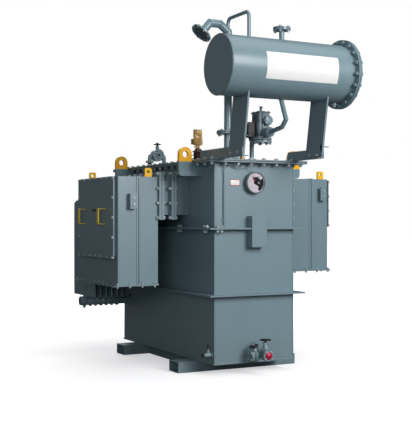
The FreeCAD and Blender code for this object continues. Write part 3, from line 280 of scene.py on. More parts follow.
@dataclass(frozen=True)
class Enamel(Finish):
    """Sprayed enamel: broad tone, faint runs, dust near the ground and an orange-peel skin."""

    colour: Colour = rgb(0.166, 0.249, 0.287)
    gloss: float = 0.37
    dust: float = 0.30
    chips: float = 0.0
    wave: float = 0.0035
    peel: float = 0.00006
    ripple: float = 0.0
    edge: float = 0.0022
    shine: float = 0.5
    coat: float = 0.12

    def tint(self, graph: Graph) -> Value:
        """Colour before tone, dust and chips."""
        return self.colour

    def paint(self, graph: Graph) -> None:
        """Makes the nodes."""
        broad = graph.noise(1.4, 3.0)
        runs = graph.noise(11.0, 2.0, (1, 1, 0.07))
        colour = graph.scaled(self.tint(graph), broad * 0.10 + runs * 0.06 + 0.92)
        soil = (1.0 - graph.ramp(graph.part("Z"), 0.03, 0.34)) * graph.noise(17.0, 5.0) * self.dust
        colour = graph.mix(soil, colour, rgb(0.12, 0.115, 0.10))
        rough = broad * 0.10 + graph.noise(55.0, 4.0) * 0.07 + soil * 0.5 + (self.gloss - 0.08)
        if self.chips:
            bare = graph.ramp(graph.noise(70.0, 5.0), self.chips, self.chips + 0.02)
            colour = graph.mix(bare, colour, rgb(0.10, 0.075, 0.055))
            rough = rough + bare * 0.3
        graph.feed(Base_Color=colour, Roughness=rough, Specular_IOR_Level=self.shine)
        graph.feed(Coat_Weight=self.coat, Coat_Roughness=0.16)
        height = graph.noise(2.6, 1.0) * self.wave + graph.noise(240.0, 2.0) * self.peel
        if self.ripple:
            height = height + graph.noise(210.0, 1.0) * self.ripple
        graph.relief(height, self.edge)


@dataclass(frozen=True)
class LugEnamel(Enamel):
    """Yellow above the cover, the tank's grey below it, with an overspray edge."""

    above: Colour = rgb(0.90, 0.45, 0.004)
    level: float = 1.600
    drop: float = 0.035

    def tint(self, graph: Graph) -> Wire:
        """Grey or yellow by height, the border lower on the right."""
        right = graph.ramp(graph.part("X"), -0.1, 0.1)
        rise = graph.part("Z") + right * self.drop + graph.noise(40.0) * 0.006
        return graph.mix(graph.ramp(rise, self.level, self.level + 0.006), self.colour, self.above)


@dataclass(frozen=True)
class Metal(Finish):
    """Bare or plated metal, tarnished in patches."""

    colour: Colour
    tarnish: Colour
    rough: float = 0.32
    metallic: float = 1.0
    patches: float = 0.6

    def paint(self, graph: Graph) -> None:
        """Makes the nodes."""
        stain = graph.ramp(graph.noise(28.0, 5.0), 0.38, 0.72) * self.patches
        brushed = graph.noise(320.0, 2.0, (1, 1, 0.15))
        graph.feed(Base_Color=graph.mix(stain, self.colour, self.tarnish), Metallic=self.metallic)
        graph.feed(Roughness=stain * 0.25 + brushed * 0.12 + self.rough)
        graph.relief(brushed * 0.00004 + graph.noise(60.0, 3.0) * 0.0001, 0.0012)


@dataclass(frozen=True)
class Moulded(Finish):
    """Moulded plastic, rubber, glaze or printed card: a skin with fine mottling."""

    colour: Colour
    other: Colour
    rough: float = 0.4
    grain: float = 0.00005
    grain_scale: float = 420.0
    mottle_scale: float = 30.0
    coat: float = 0.0
    shine: float = 0.5

    def paint(self, graph: Graph) -> None:
        """Makes the nodes."""
        mottle = graph.ramp(graph.noise(self.mottle_scale, 4.0), 0.3, 0.75)
        graph.feed(Base_Color=graph.mix(mottle, self.colour, self.other))
        graph.feed(Roughness=mottle * 0.1 + self.rough, Specular_IOR_Level=self.shine)
        graph.feed(Coat_Weight=self.coat, Coat_Roughness=0.08)
        graph.relief(graph.noise(self.grain_scale, 2.0) * self.grain, 0.0012)


@dataclass(frozen=True)
class Pane(Finish):
    """Clear glass of a small window, with smears in its gloss."""

    colour: Colour = rgb(0.20, 0.22, 0.24)
    clear: float = 0.03

    def paint(self, graph: Graph) -> None:
        """Makes the nodes."""
        smear = graph.noise(45.0, 4.0)
        graph.feed(Base_Color=graph.scaled(self.colour, smear * 0.2 + 0.85), Roughness=smear * 0.12 + 0.02)
        graph.feed(Alpha=smear * 0.04 + self.clear, IOR=1.5)


GREY = Enamel("grey_enamel", "grey_paint")
GREY_PIPE = Enamel("grey_pipe_enamel", "grey_paint", gloss=0.26, wave=0.0006)
GREY_CAST = Enamel("grey_casting_enamel", "grey_paint", gloss=0.36, wave=0.0006, peel=0.00022)
WELD = Enamel("grey_weld_enamel", "grey_paint", wave=0.0004, ripple=0.0014, edge=0.0)
YELLOW = Enamel(
    "yellow_lug_enamel", "lug_paint", rgb(0.94, 0.52, 0.006), chips=0.72, wave=0.0004, shine=0.25, coat=0.04
)
# Lit copy of the lug yellow: the box handles face the shaded side, so their yellow is painted brighter than
# the lugs' as painted light.
LIT_HANDLE_YELLOW = Enamel(
    "yellow_handle_painted_light_enamel", "lug_paint", rgb(1.0, 0.72, 0.010), chips=0.74, wave=0.0002, shine=0.4, coat=0.04
)
LUG = LugEnamel("two_tone_lug_enamel", "lug_paint", chips=0.72, wave=0.0004, shine=0.25, coat=0.04)
# Bolt steel much lighter than the enamel: partly the bolts' own pale grey finish, partly a painted highlight
# that makes them show as bright dots on the shaded faces too.
HIGHLIT_BOLT = Metal("grey_bolt_steel_painted_highlight", "bolt_steel", rgb(0.42, 0.48, 0.50), rgb(0.17, 0.21, 0.22), 0.34, 0.3)
BRASS = Metal("tarnished_brass", "brass", rgb(0.62, 0.40, 0.17), rgb(0.22, 0.12, 0.05))
WHEEL = Moulded("black_wheel_enamel", "wheel_black", rgb(0.003, 0.004, 0.005), rgb(0.008, 0.009, 0.011))
CAP = Moulded("red_transit_plug", "cap_red", rgb(0.48, 0.010, 0.045), rgb(0.32, 0.006, 0.030), 0.30)
GLAZE = Moulded(
    "brown_porcelain_glaze", "porcelain", rgb(0.105, 0.040, 0.026), rgb(0.028, 0.012, 0.010), 0.10, coat=0.8
)
CASE = Moulded("grey_dial_case", "dial_case", rgb(0.16, 0.19, 0.21), rgb(0.11, 0.135, 0.15), 0.30)
FACE = Moulded("white_dial_card", "dial_face", rgb(0.66, 0.60, 0.66), rgb(0.58, 0.51, 0.60), 0.5)
INK = Moulded(
    "black_dial_ink", "wheel_black", rgb(0.003, 0.003, 0.004), rgb(0.006, 0.006, 0.007), 0.8, shine=0.08
)
RUBBER = Moulded(
    "black_gasket_rubber", "gasket_rubber", rgb(0.014, 0.014, 0.015), rgb(0.024, 0.024, 0.025), 0.75
)
HOUSING = Moulded(
    "dark_terminal_box", "terminal_box", rgb(0.032, 0.026, 0.028), rgb(0.020, 0.018, 0.020), 0.42
)
LABEL = Moulded("white_blank_label", "label_white", rgb(0.80, 0.80, 0.80), rgb(0.76, 0.76, 0.77), 0.32)
BORDER = Moulded("red_label_border", "cap_red", rgb(0.56, 0.11, 0.13), rgb(0.48, 0.09, 0.11), 0.4)
GLASS = Pane("window_pane", "window_glass")
DIAPHRAGM = Pane("diaphragm_pane", "window_glass", rgb(0.085, 0.120, 0.150), 0.92)

NODE_FINISHES: dict[Finish, str] = {
    GREY: """front_skid rear_skid base_runners tank_floor tank_front_wall tank_rear_wall tank_left_wall
        tank_right_wall tank_rim tank_cover lower_stiffener upper_stiffener front_bracket left_throat
        right_throat throat_necks left_cable_box right_cable_box left_box_cover right_box_cover
        left_gland_plate right_gland_plate earth_pads left_radiator_fins right_radiator_fins
        conservator_shell conservator_left_end conservator_flange conservator_end_cover
        conservator_arms conservator_legs""",
    GREY_PIPE: """radiator_headers filler vent_pipe vent_bell equalizer_pipe relay_inlet_pipe
        relay_outlet_pipe capillary_tube""",
    GREY_CAST: "relay_body drain_valve sampling_valve filter_valve earth_stub",
    LUG: "tank_lugs",
    YELLOW: "box_lugs",
    LIT_HANDLE_YELLOW: "box_handles",
    WHEEL: "drain_handwheel sampling_handwheel filter_handwheel",
    CAP: "drain_cap",
    GLAZE: "neutral_bushing",
    BRASS: "terminal_palm thermometer_pocket",
    CASE: "dial_thermometer",
    HOUSING: "relay_terminal_box",
}


def dress_nodes() -> None:
    """Gives every CAD node its finish."""
    for finish, names in NODE_FINISHES.items():
        for name in names.split():
            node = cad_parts[name]
            if not node.material_slots:
                node.data.materials.append(None)
            for holder in node.material_slots:
                holder.material = finish.material()


# ---------------------------------------------------------------- the bench
def pick(*things: bpy.types.Object) -> bpy.types.Object:
    """Selects only these objects and makes the first one active."""
    bpy.ops.object.select_all(action="DESELECT")
    for thing in things:
        thing.select_set(True)
    bpy.context.view_layer.objects.active = things[0]
    return things[0]


def place_applied() -> bpy.types.Object:
    """Moves the active object's place, turn and scale into its mesh."""
    bpy.ops.object.transform_apply(location=True, rotation=True, scale=True)
    return bpy.context.object


def joined(*parts: bpy.types.Object) -> bpy.types.Object:
    """Joins parts into the first one."""
    pick(*parts)
    bpy.ops.object.join()
    return bpy.context.object


def rounded(piece: bpy.types.Object, width: float) -> bpy.types.Object:
    """Bevels the edges of a piece that are sharper than 30 degrees."""
    pick(piece)
    bevel = piece.modifiers.new("round", "BEVEL")
    bevel.width, bevel.segments, bevel.limit_method = width, 2, "ANGLE"
    bpy.ops.object.modifier_apply(modifier=bevel.name)
    return piece


def block(low: Vector, high: Vector, bevel: float = 0.0) -> bpy.types.Object:
    """Box between two opposite corners.

    Args:
        low: One corner.
        high: The opposite corner.
        bevel: Width of its rounded edges, or 0 for sharp ones.

    Returns:
        The new object.
    """
    bpy.ops.object.select_all(action="DESELECT")
    size = [abs(b - a) for a, b in zip(low, high)]
    bpy.ops.mesh.primitive_cube_add(size=1, location=(low + high) / 2, scale=size)
    piece = place_applied()
    return rounded(piece, bevel) if bevel else piece


def rod(
    start: Vector, end: Vector, radius: float, sides: int = 24, tip: Optional[float] = None,
    bevel: float = 0.0,
) -> bpy.types.Object:
    """Round bar between two points, or a cone where the tip's radius differs.

    Args:
        start: Middle of the first end.
        end: Middle of the second end.
        radius: Radius at the start.
        sides: Faces round it.
        tip: Radius at the end, or None for the same.
        bevel: Width of its rounded edges.

    Returns:
        The new object.
    """
    bpy.ops.object.select_all(action="DESELECT")
    axis = end - start
    bpy.ops.mesh.primitive_cone_add(
        vertices=sides, radius1=radius, radius2=radius if tip is None else tip, depth=axis.length,
        location=(start + end) / 2, rotation=axis.to_track_quat("Z", "Y").to_euler(),
    )
    piece = place_applied()
    return rounded(piece, bevel) if bevel else piece


def disc(middle: Vector, axis: Vector, thickness: float, radius: float, sides: int) -> bpy.types.Object:
    """Round plate about an axis, its thickness shared between both sides of its middle."""
    half = axis * thickness / 2
    return rod(middle - half, middle + half, radius, sides)


def ring(middle: Vector, axis: Vector, radius: float, thickness: float, sides: int = 48) -> bpy.types.Object:
    """Round wire ring about an axis, of the given half thickness."""
    bpy.ops.object.select_all(action="DESELECT")
    bpy.ops.mesh.primitive_torus_add(
        major_radius=radius, minor_radius=thickness, major_segments=sides, minor_segments=8,
        location=middle, rotation=axis.to_track_quat("Z", "Y").to_euler(),
    )
    return place_applied()


def turned(
    foot: Vector, axis: Vector, profile: Sequence[tuple[float, float]], sides: int = 32
) -> bpy.types.Object:
    """Turned piece: a disc extruded and resized from step to step along its axis.

    Args:
        foot: Point on the axis that heights are counted from.
        axis: Direction of the axis.
        profile: Radius and height of each step.
        sides: Faces round it.

    Returns:
        The new object.
    """
    bpy.ops.object.select_all(action="DESELECT")
    radius, height = profile[0]
    bpy.ops.mesh.primitive_circle_add(
        vertices=sides, radius=radius, fill_type="NGON", location=(0, 0, height)
    )
    bpy.ops.object.transform_apply(location=True)
    bpy.ops.object.mode_set(mode="EDIT")
    bpy.ops.mesh.select_all(action="SELECT")
    for next_radius, next_height in profile[1:]:
        bpy.ops.mesh.extrude_region_move(TRANSFORM_OT_translate={"value": (0, 0, next_height - height)})
        ratio = next_radius / radius
        bpy.ops.transform.resize(value=(ratio, ratio, 1), center_override=(0, 0, next_height))
        radius, height = next_radius, next_height
    bpy.ops.mesh.select_all(action="SELECT")
    bpy.ops.mesh.normals_make_consistent(inside=False)
    bpy.ops.object.mode_set(mode="OBJECT")
    piece = bpy.context.object
    piece.matrix_world = Matrix.Translation(foot) @ axis.to_track_quat("Z", "Y").to_matrix().to_4x4()
    return place_applied()


def cable(points: Sequence[Vector], radius: float) -> bpy.types.Object:
    """Thin cable that bends smoothly through points.

    Args:
        points: Its places, from one end to the other.
        radius: Its radius.

    Returns:
        The new object.
    """
    path = [points[0]]
    for i, (start, end) in enumerate(zip(points, points[1:])):
        before, after = points[max(i - 1, 0)], points[min(i + 2, len(points) - 1)]
        leave, reach = start + (end - before) / 6, end - (after - start) / 6
        path += interpolate_bezier(start, leave, reach, end, 6)[1:]
    overlap = 0.4 * radius
    return joined(*(rod(a, b + (b - a).normalized() * overlap, radius, 8) for a, b in zip(path, path[1:])))


def choose_faces(piece: bpy.types.Object, test: Callable[[bmesh.types.BMFace], bool]) -> None:
    """In edit mode, selects only the faces that pass a test."""
    mesh = bmesh.from_edit_mesh(piece.data)
    bpy.ops.mesh.select_all(action="DESELECT")
    for face in mesh.faces:
        face.select_set(test(face))
    bmesh.update_edit_mesh(piece.data)


def cut(point: Vector, normal: Vector, clear: bool = False, fill: bool = False) -> None:
    """In edit mode, cuts the mesh by a plane, and may drop what the normal points to and close the cut."""
    bpy.ops.mesh.select_all(action="SELECT")
    bpy.ops.mesh.bisect(plane_co=point, plane_no=normal, clear_outer=clear, use_fill=fill)


def copied(template: bpy.types.Object, matrix: Matrix) -> bpy.types.Object:
    """Copy of a template with its own mesh, set at a place."""
    copy = template.copy()
    copy.data = template.data.copy()
    copy.data.transform(matrix)
    bpy.context.scene.collection.objects.link(copy)
    return copy


def deliver(
    name: str, finish: Finish, parts: Sequence[bpy.types.Object], body: Body = Body.TANK, smooth: float = 35.0
) -> bpy.types.Object:
    """Joins parts into one finished piece that rides on a body.

    Args:
        name: The piece's name.
        finish: Its finish.
        parts: What is joined.
        body: The body that it moves with.
        smooth: Edges flatter than this angle, in degrees, are shaded smooth.

    Returns:
        The finished piece, with its object at the origin.
    """
    piece = joined(*parts) if len(parts) > 1 else pick(*parts)
    piece.name = piece.data.name = name
    bpy.ops.object.shade_smooth_by_angle(angle=math.radians(smooth))
    piece.data.materials.clear()
    piece.data.materials.append(finish.material())
    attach(piece, body.value)
    log.info("%s: %d faces on %s", name, len(piece.data.polygons), body.value)
    return piece


# ---------------------------------------------------------------- fasteners and welds
class Kind(Enum):
    """Which end of a fastener shows at a seat, valued by its hexagon's height in thread diameters."""

    HEAD = 0.6
    NUT = 0.75


def fastener(thread: float, kind: Kind) -> bpy.types.Object:
    """Washer and chamfered hexagon on a seat along +Z, and the thread's end where it is a nut.

    Args:
        thread: Thread diameter, which every other size follows.
        kind: Head or nut.

    Returns:
        The new object.
    """
    def bar(low: float, high: float, radius: float, sides: int) -> bpy.types.Object:
        """Upright bar whose sizes are in thread diameters."""
        return rod(Z_AXIS * low * thread, Z_AXIS * high * thread, radius * thread, sides)

    washer = 0.2
    hexagon = bar(washer, washer + kind.value, 0.92, 6)
    bpy.ops.object.mode_set(mode="EDIT")
    choose_faces(hexagon, lambda face: face.normal.z > 0.9)
    bpy.ops.mesh.inset(thickness=0.12 * thread, depth=0.08 * thread)
    bpy.ops.object.mode_set(mode="OBJECT")
    parts = [hexagon, bar(0, washer, 1.05, 14)]
    if kind is Kind.NUT:
        parts.append(bar(0.9, 1.35, 0.5, 10))
    return joined(*parts)


def fastened(name: str, thread: float, kind: Kind, seats: Sequence[Seat], finish: Finish = HIGHLIT_BOLT) -> None:
    """One piece of many like bolt heads or nuts.

    Args:
        name: The piece's name.
        thread: Thread diameter.
        kind: Head or nut.
        seats: Point and outward direction of each.
        finish: Their finish.
    """
    template = fastener(thread, kind)
    copies = []
    for index, (point, normal) in enumerate(seats):
        turn = normal.to_track_quat("Z", "Y") @ Quaternion(Z_AXIS, 0.7 * index)
        copies.append(copied(template, Matrix.Translation(point) @ turn.to_matrix().to_4x4()))
    bpy.data.objects.remove(template)
    deliver(name, finish, copies, smooth=20.0)


def bolted(stem: str, thread: float, seats: Sequence[Seat], grip: float) -> None:
    """Bolt heads at seats, and their nuts at the far end of the grip."""
    fastened(f"{stem}_bolts", thread, Kind.HEAD, seats)
    fastened(f"{stem}_nuts", thread, Kind.NUT, [(point - normal * grip, -normal) for point, normal in seats])


def facing(points: Iterable[Vector], normal: Vector) -> list[Seat]:
    """Seats at points that all face one way."""
    return [(point, normal) for point in points]


def circled(middle: Vector, axis: Vector, radius: float, count: int, first: float = 0.0) -> list[Vector]:
    """Points evenly round a circle about an axis."""
    turn = axis.to_track_quat("Z", "Y")
    angles = [first + 2 * math.pi * i / count for i in range(count)]
    return [middle + turn @ vec(math.cos(a), math.sin(a), 0) * radius for a in angles]


def bolt_circle(middle: Vector, axis: Vector, radius: float, count: int, first: float = 0.0) -> list[Seat]:
    """Seats evenly round a circle, facing along its axis."""
    return facing(circled(middle, axis, radius, count, first), axis)


def spaced(start: float, end: float, pitch: float) -> list[float]:
    """Evenly spaced values from start to end, both included, near the given pitch."""
    count = max(1, round(abs(end - start) / pitch))
    return [start + (end - start) * i / count for i in range(count + 1)]


def framed(
    low: Vector, high: Vector, inset: float, pitches: tuple[float, float]
) -> list[tuple[float, float]]:
    """Points round a rectangle, inset from its edges, with each corner once."""
    (u0, u1), (v0, v1) = ((a + inset, b - inset) for a, b in zip(low, high))
    points = [(u, v) for u in spaced(u0, u1, pitches[0]) for v in (v0, v1)]
    return points + [(u, v) for v in spaced(v0, v1, pitches[1])[1:-1] for u in (u0, u1)]


def border(low: Vector, high: Vector, width: float) -> list[bpy.types.Object]:
    """Four bars along the edges of a flat box.

    Args:
        low: One corner of the box.
        high: The opposite corner.
        width: Width of the bars; they are as thick as the box.

    Returns:
        The bars.
    """
    extent = [abs(b - a) for a, b in zip(low, high)]
    bars = []
    for across in (axis for axis in range(3) if axis != extent.index(min(extent))):
        for near, far in ((low, high), (high, low)):
            corner = far.copy()
            corner[across] = near[across] + math.copysign(width, far[across] - near[across])
            bars.append(block(near, corner))
    return bars


def welded(name: str, radius: float, runs: Iterable[Run]) -> None:
    """Weld beads along straight seams, sunk half their width into the corner."""
    deliver(name, WELD, [rod(a, b, radius, 8) for a, b in runs], smooth=60.0)


def loop(corners: Sequence[Vector]) -> list[Run]:
    """The runs from corner to corner and back to the first."""
    return list(zip(corners, [*corners[1:], corners[0]]))


def outline_runs(x: float, y0: float, y1: float, z0: float, z1: float) -> list[Run]:
    """The four sides of a rectangle that stands across X."""
    return loop([vec(x, y, z) for y, z in ((y0, z0), (y1, z0), (y1, z1), (y0, z1))])


def level_runs(span: Span, z: float) -> list[Run]:
    """The four sides of a box's plan at a height."""
    (x0, y0), (x1, y1) = span.low.xy, span.high.xy
    return loop([vec(x, y, z) for x, y in ((x0, y0), (x1, y0), (x1, y1), (x0, y1))])


# ---------------------------------------------------------------- tank
@dataclass(frozen=True)
class Tank:
    """Cover bolts, gasket, weld seams, label and the small clamps of the tank."""

    bolt: float = 0.016
    bolt_inset: float = 0.036
    pitch: float = 0.113
    arm_x: float = 0.320
    arm_clear: float = 0.050
    lugs_y: tuple[float, float] = (-0.645, 0.600)
    lug_half: float = 0.0125
    lug_clear: float = 0.030
    lug_inset: float = 0.003
    bead: float = 0.0038
    gasket: float = 0.004
    proud: float = 0.0008
    label: Vector = vec(-0.170, -0.857, 1.440)
    label_half: Vector = vec(0.042, 0, 0.023)
    label_sheet: float = 0.0015
    border_depth: float = 0.0022
    border_width: float = 0.0045
    clamp: float = 0.007
    clamp_half: tuple[float, float] = (0.030, 0.014)
    clamp_bolt: float = 0.014
    clamp_reach: float = 0.017
    foot: float = 0.004

    def build(self) -> None:
        """Builds every piece of the tank."""
        self.cover_bolts()
        self.seams()
        self.label_plate()
        self.clamps()
        self.base()

    def cover_bolts(self) -> None:
        """Heads on the cover, nuts below the rim and the gasket between them."""
        cover, rim = Span.of("tank_cover"), Span.of("tank_rim")
        low, high, inset = cover.low, cover.high, self.bolt_inset
        tops, nuts = [], []
        for x, y in framed(low.xy, high.xy, inset, (self.pitch, self.pitch)):
            offset = abs(abs(x - TANK_MIDDLE.x) - self.arm_x)
            if not (y < low.y + 2 * inset and offset < self.arm_clear):
                tops.append((vec(x, y, high.z), Z_AXIS))
            if all(abs(y - TANK_MIDDLE.y - lug) > self.lug_clear for lug in self.lugs_y):
                nuts.append((vec(x, y, rim.low.z), -Z_AXIS))
        fastened("cover_bolt_heads", self.bolt, Kind.HEAD, tops)
        fastened("cover_bolt_nuts", self.bolt, Kind.NUT, nuts)
        grow = vec(self.proud, self.proud, self.gasket / 2)
        start, end = (vec(*corner.xy, rim.high.z) for corner in (low, high))
        deliver("cover_gasket", RUBBER, border(start - grow, end + grow, inset / 2))

    def seams(self) -> None:
        """Weld beads at the tank's corners, rim, stiffeners, floor and lugs."""
        low, high = Span.of("tank_left_wall").low, Span.of("tank_right_wall").high
        rim = Span.of("tank_rim")
        under = rim.low.z
        levels = [under, low.z]
        for node in ("lower_stiffener", "upper_stiffener"):
            levels += [Span.of(node).low.z, Span.of(node).high.z]
        runs = [(vec(x, y, low.z), vec(x, y, under)) for x in (low.x, high.x) for y in (low.y, high.y)]
        for level in levels:
            runs += level_runs(Span(low, high), level)
        welded("tank_weld_seams", self.bead, runs)
        reach, foot = rim.high.x - high.x - self.lug_inset, Span.of("tank_lugs").low.z
        runs = []
        for x, y, side in product((low.x, high.x), self.lugs_y, (-1, 1)):
            corner = vec(x, TANK_MIDDLE.y + y + side * self.lug_half, under)
            out = X_AXIS * math.copysign(reach, x - TANK_MIDDLE.x)
            runs += [(vec(*corner.xy, foot), corner), (corner, corner + out)]
        welded("lug_weld_seams", self.bead, runs)

    def label_plate(self) -> None:
        """Small blank label with a border, on the front wall."""
        low, high = at(*(self.label - self.label_half)), at(*(self.label + self.label_half))
        deliver("front_label", LABEL, [block(low - Y_AXIS * self.label_sheet, high, 0.0004)])
        bars = border(low - Y_AXIS * self.border_depth, high, self.border_width)
        deliver("front_label_border", BORDER, bars)

    def clamps(self) -> None:
        """Three bolted clamps on the upper stiffener, near its front left corner."""
        bar, thick = Span.of("upper_stiffener"), Z_AXIS * self.clamp
        plates, seats = [], []
        for x, y, along in ((-0.322, -0.897, X_AXIS), (-0.385, -0.797, Y_AXIS), (-0.385, -0.354, Y_AXIS)):
            across = Y_AXIS if along is X_AXIS else X_AXIS
            half = along * self.clamp_half[0] + across * self.clamp_half[1]
            for level, depth in ((bar.high.z, thick), (bar.low.z, -thick)):
                middle = at(x, y, level)
                plates.append(block(middle - half, middle + half + depth, 0.0012))
            top = at(x, y, bar.high.z) + thick
            seats += facing([top - along * self.clamp_reach, top + along * self.clamp_reach], Z_AXIS)
        deliver("stiffener_clamps", GREY, plates)
        bolted("stiffener_clamp", self.clamp_bolt, seats, bar.high.z - bar.low.z + 2 * self.clamp)

    def base(self) -> None:
        """Weld beads where the skids and runners meet the floor plate and each other."""
        floor, runner = Span.of("tank_floor"), Span.of("base_runners")
        runs = []
        for skid in (Span.of("front_skid"), Span.of("rear_skid")):
            for y in (skid.low.y, skid.high.y):
                runs.append((vec(floor.low.x, y, skid.high.z), vec(floor.high.x, y, skid.high.z)))
        for x in (runner.low.x, runner.high.x):
            front, rear = (vec(x, y, runner.high.z) for y in (runner.low.y, runner.high.y))
            runs += [(front, rear), (vec(x, front.y, self.foot), front), (vec(x, rear.y, self.foot), rear)]
        welded("base_weld_seams", self.bead, runs)


# ---------------------------------------------------------------- throats and cable boxes
@dataclass(frozen=True)
class BoxPlaces:
    """Heights, and distances from the tank's middle, that the two cable boxes don't share."""

    roof: float
    strap: float
    pad_x: float
    pad_z: float


BOX_PLACES = {
    Side.LEFT: BoxPlaces(1.490, -0.770, -0.827, 1.3015),
    Side.RIGHT: BoxPlaces(1.500, 0.803, 0.899, 1.3755),
}


@dataclass(frozen=True)
class CableBoxDress:
    """Bolts, gaskets, welds and small fittings of one cable box and its throat."""

    side: Side
    flange: float = 0.021
    flange_inset: float = 0.016
    flange_pitches: tuple[float, float] = (0.112, 0.108)
    throat_half: float = 0.406
    throat_margin: float = 0.038
    box_half: float = 0.430
    gasket_half: Vector = vec(0.0015, 0.0008, 0.0008)
    gasket_width: float = 0.0116
    collar_depth: float = 0.024
    collar_inset: float = 0.018
    foot_flange: float = 0.014
    foot_thickness: float = 0.008
    foot_start: float = 0.030
    cover_bolt_inset: float = 0.011
    cover_pitches: tuple[float, float] = (0.115, 0.144)
    cover_gasket: Vector = vec(0.003, 0.0165, 0.0165)
    latch: Vector = vec(0, -0.020, 1.236)
    latch_half: Vector = vec(0.010, 0.032, 0.0075)
    strap_half: float = 0.017
    strap_proud: float = 0.004
    joint: tuple[float, float] = (0.002, 0.0012)
    pad_hole: float = 0.023
    bead: float = 0.0032

    @property
    def out(self) -> Vector:
        """Direction away from the tank."""
        return X_AXIS * self.side.value

    def name(self, text: str) -> str:
        """Name of a piece on this side."""
        return f"{self.side.word}_{text}"

    def span(self, text: str) -> Span:
        """Box of a node on this side."""
        return Span.of(self.name(text))

    def build(self) -> None:
        """Builds every piece of this side."""
        self.flange_bolts()
        self.cover_bolts()
        self.foot_bolts()
        self.seams()
        self.earthing()

    def flange_bolts(self) -> None:
        """Both bolted joints between the throat, the neck and the box."""
        sign, throat = self.side.value, self.span("throat")
        low, high, step = throat.low, throat.high, sign * self.flange
        near, far = throat.face(sign), self.span("cable_box").face(-sign) + step
        heads, nuts = [], []
        for y, z in framed(low.yz, high.yz, self.flange_inset, self.flange_pitches):
            heads += facing([vec(near - step, y, z), vec(far - 2 * step, y, z)], -self.out)
            nuts.append((vec(near + step, y, z), self.out))
            if abs(y - throat.middle.y) > self.box_half + 0.001 or z > high.z - 0.03:
                nuts.append((vec(far, y, z), self.out))
        fastened(self.name("throat_bolt_heads"), 0.014, Kind.HEAD, heads)
        fastened(self.name("throat_bolt_nuts"), 0.014, Kind.NUT, nuts)
        strips = []
        for x in (near, far - step):
            start, end = vec(x, *low.yz) - self.gasket_half, vec(x, *high.yz) + self.gasket_half
            strips += border(start, end, self.gasket_width)
        deliver(self.name("throat_gaskets"), RUBBER, strips)

    def cover_bolts(self) -> None:
        """Bolts round the cover, its gasket and the left cover's latch."""
        sign, cover = self.side.value, self.span("box_cover")
        points = framed(cover.low.yz, cover.high.yz, self.cover_bolt_inset, self.cover_pitches)
        seats = facing([vec(cover.face(sign), *point) for point in points], self.out)
        fastened(self.name("cover_bolts"), 0.012, Kind.HEAD, seats)
        thick, *inset = self.cover_gasket
        inner, inset = cover.face(-sign), vec(0, *inset)
        low, high = vec(inner - sign * thick, *cover.low.yz) + inset, vec(inner, *cover.high.yz) - inset
        deliver(self.name("cover_gasket"), RUBBER, [block(low, high)])
        if self.side is Side.LEFT:
            middle = vec(cover.face(sign), *at(*self.latch).yz)
            latch = block(middle - self.latch_half, middle + self.latch_half, 0.003)
            deliver("left_cover_latch", HOUSING, [latch])

    def foot_bolts(self) -> None:
        """Bolts through the foot flange and the gland plate."""
        sign, box, line = self.side.value, self.span("cable_box"), self.foot_flange / 2
        start = box.face(-sign) + sign * (self.flange + self.foot_start)
        edge = box.face(sign) - sign * (self.collar_depth - line)
        ends = [box.middle.y + end * (self.box_half + line) for end in (-1, 1)]
        spots = [(edge, y) for y in spaced(*ends, 0.098)]
        spots += [(x, y) for x in spaced(start, edge, 0.095)[:-1] for y in ends]
        top = box.low.z + self.foot_thickness
        seats = facing([vec(x, y, top) for x, y in spots], Z_AXIS)
        bolted(self.name("foot"), 0.010, seats, top - self.span("gland_plate").low.z)

    def seams(self) -> None:
        """Weld beads of the throat, the box and its collar, and the strap's open joint."""
        sign, places = self.side.value, BOX_PLACES[self.side]
        throat, box, cover = self.span("throat"), self.span("cable_box"), self.span("box_cover")
        y, half, mouth = throat.middle.y, self.throat_half, throat.face(sign)
        z0, z1 = throat.low.z + self.throat_margin, throat.high.z - self.throat_margin
        runs = []
        for x in (throat.face(-sign), mouth - sign * self.flange, mouth + sign * self.flange):
            runs += outline_runs(x, y - half, y + half, z0, z1)
        outer, inset = box.face(sign) - sign * self.collar_depth, self.collar_inset
        (y0, z0), (y1, z1) = cover.low.yz, cover.high.yz
        runs += outline_runs(outer, y0 + inset, y1 - inset, z0 + inset, z1 - inset)
        strap = TANK_MIDDLE.x + places.strap
        uprights = (outer, strap - self.strap_half, strap + self.strap_half)
        for edge, x in product((y - self.box_half, y + self.box_half), uprights):
            runs.append((vec(x, edge, box.low.z), vec(x, edge, places.roof - 0.002)))
        welded(self.name("box_weld_seams"), self.bead, runs)
        proud, top = self.box_half + self.strap_proud, places.roof + self.strap_proud
        upright, level = vec(*self.joint, 0), vec(self.joint[0], proud, self.joint[1])
        joints = []
        for edge in (y - proud, y + proud):
            foot = vec(strap, edge, box.low.z + self.foot_thickness)
            joints.append(block(foot - upright, vec(strap, edge, top) + upright))
        joints.append(block(vec(strap, y, top) - level, vec(strap, y, top) + level))
        deliver(self.name("seam_joint"), RUBBER, joints)

    def earthing(self) -> None:
        """Two bolts in the earthing pad."""
        places, front = BOX_PLACES[self.side], Span.of("earth_pads").low.y
        x = TANK_MIDDLE.x + places.pad_x
        spots = [vec(x, front, places.pad_z + rise) for rise in (-self.pad_hole, self.pad_hole)]
        fastened(self.name("earth_pad_bolts"), 0.010, Kind.HEAD, facing(spots, -Y_AXIS))


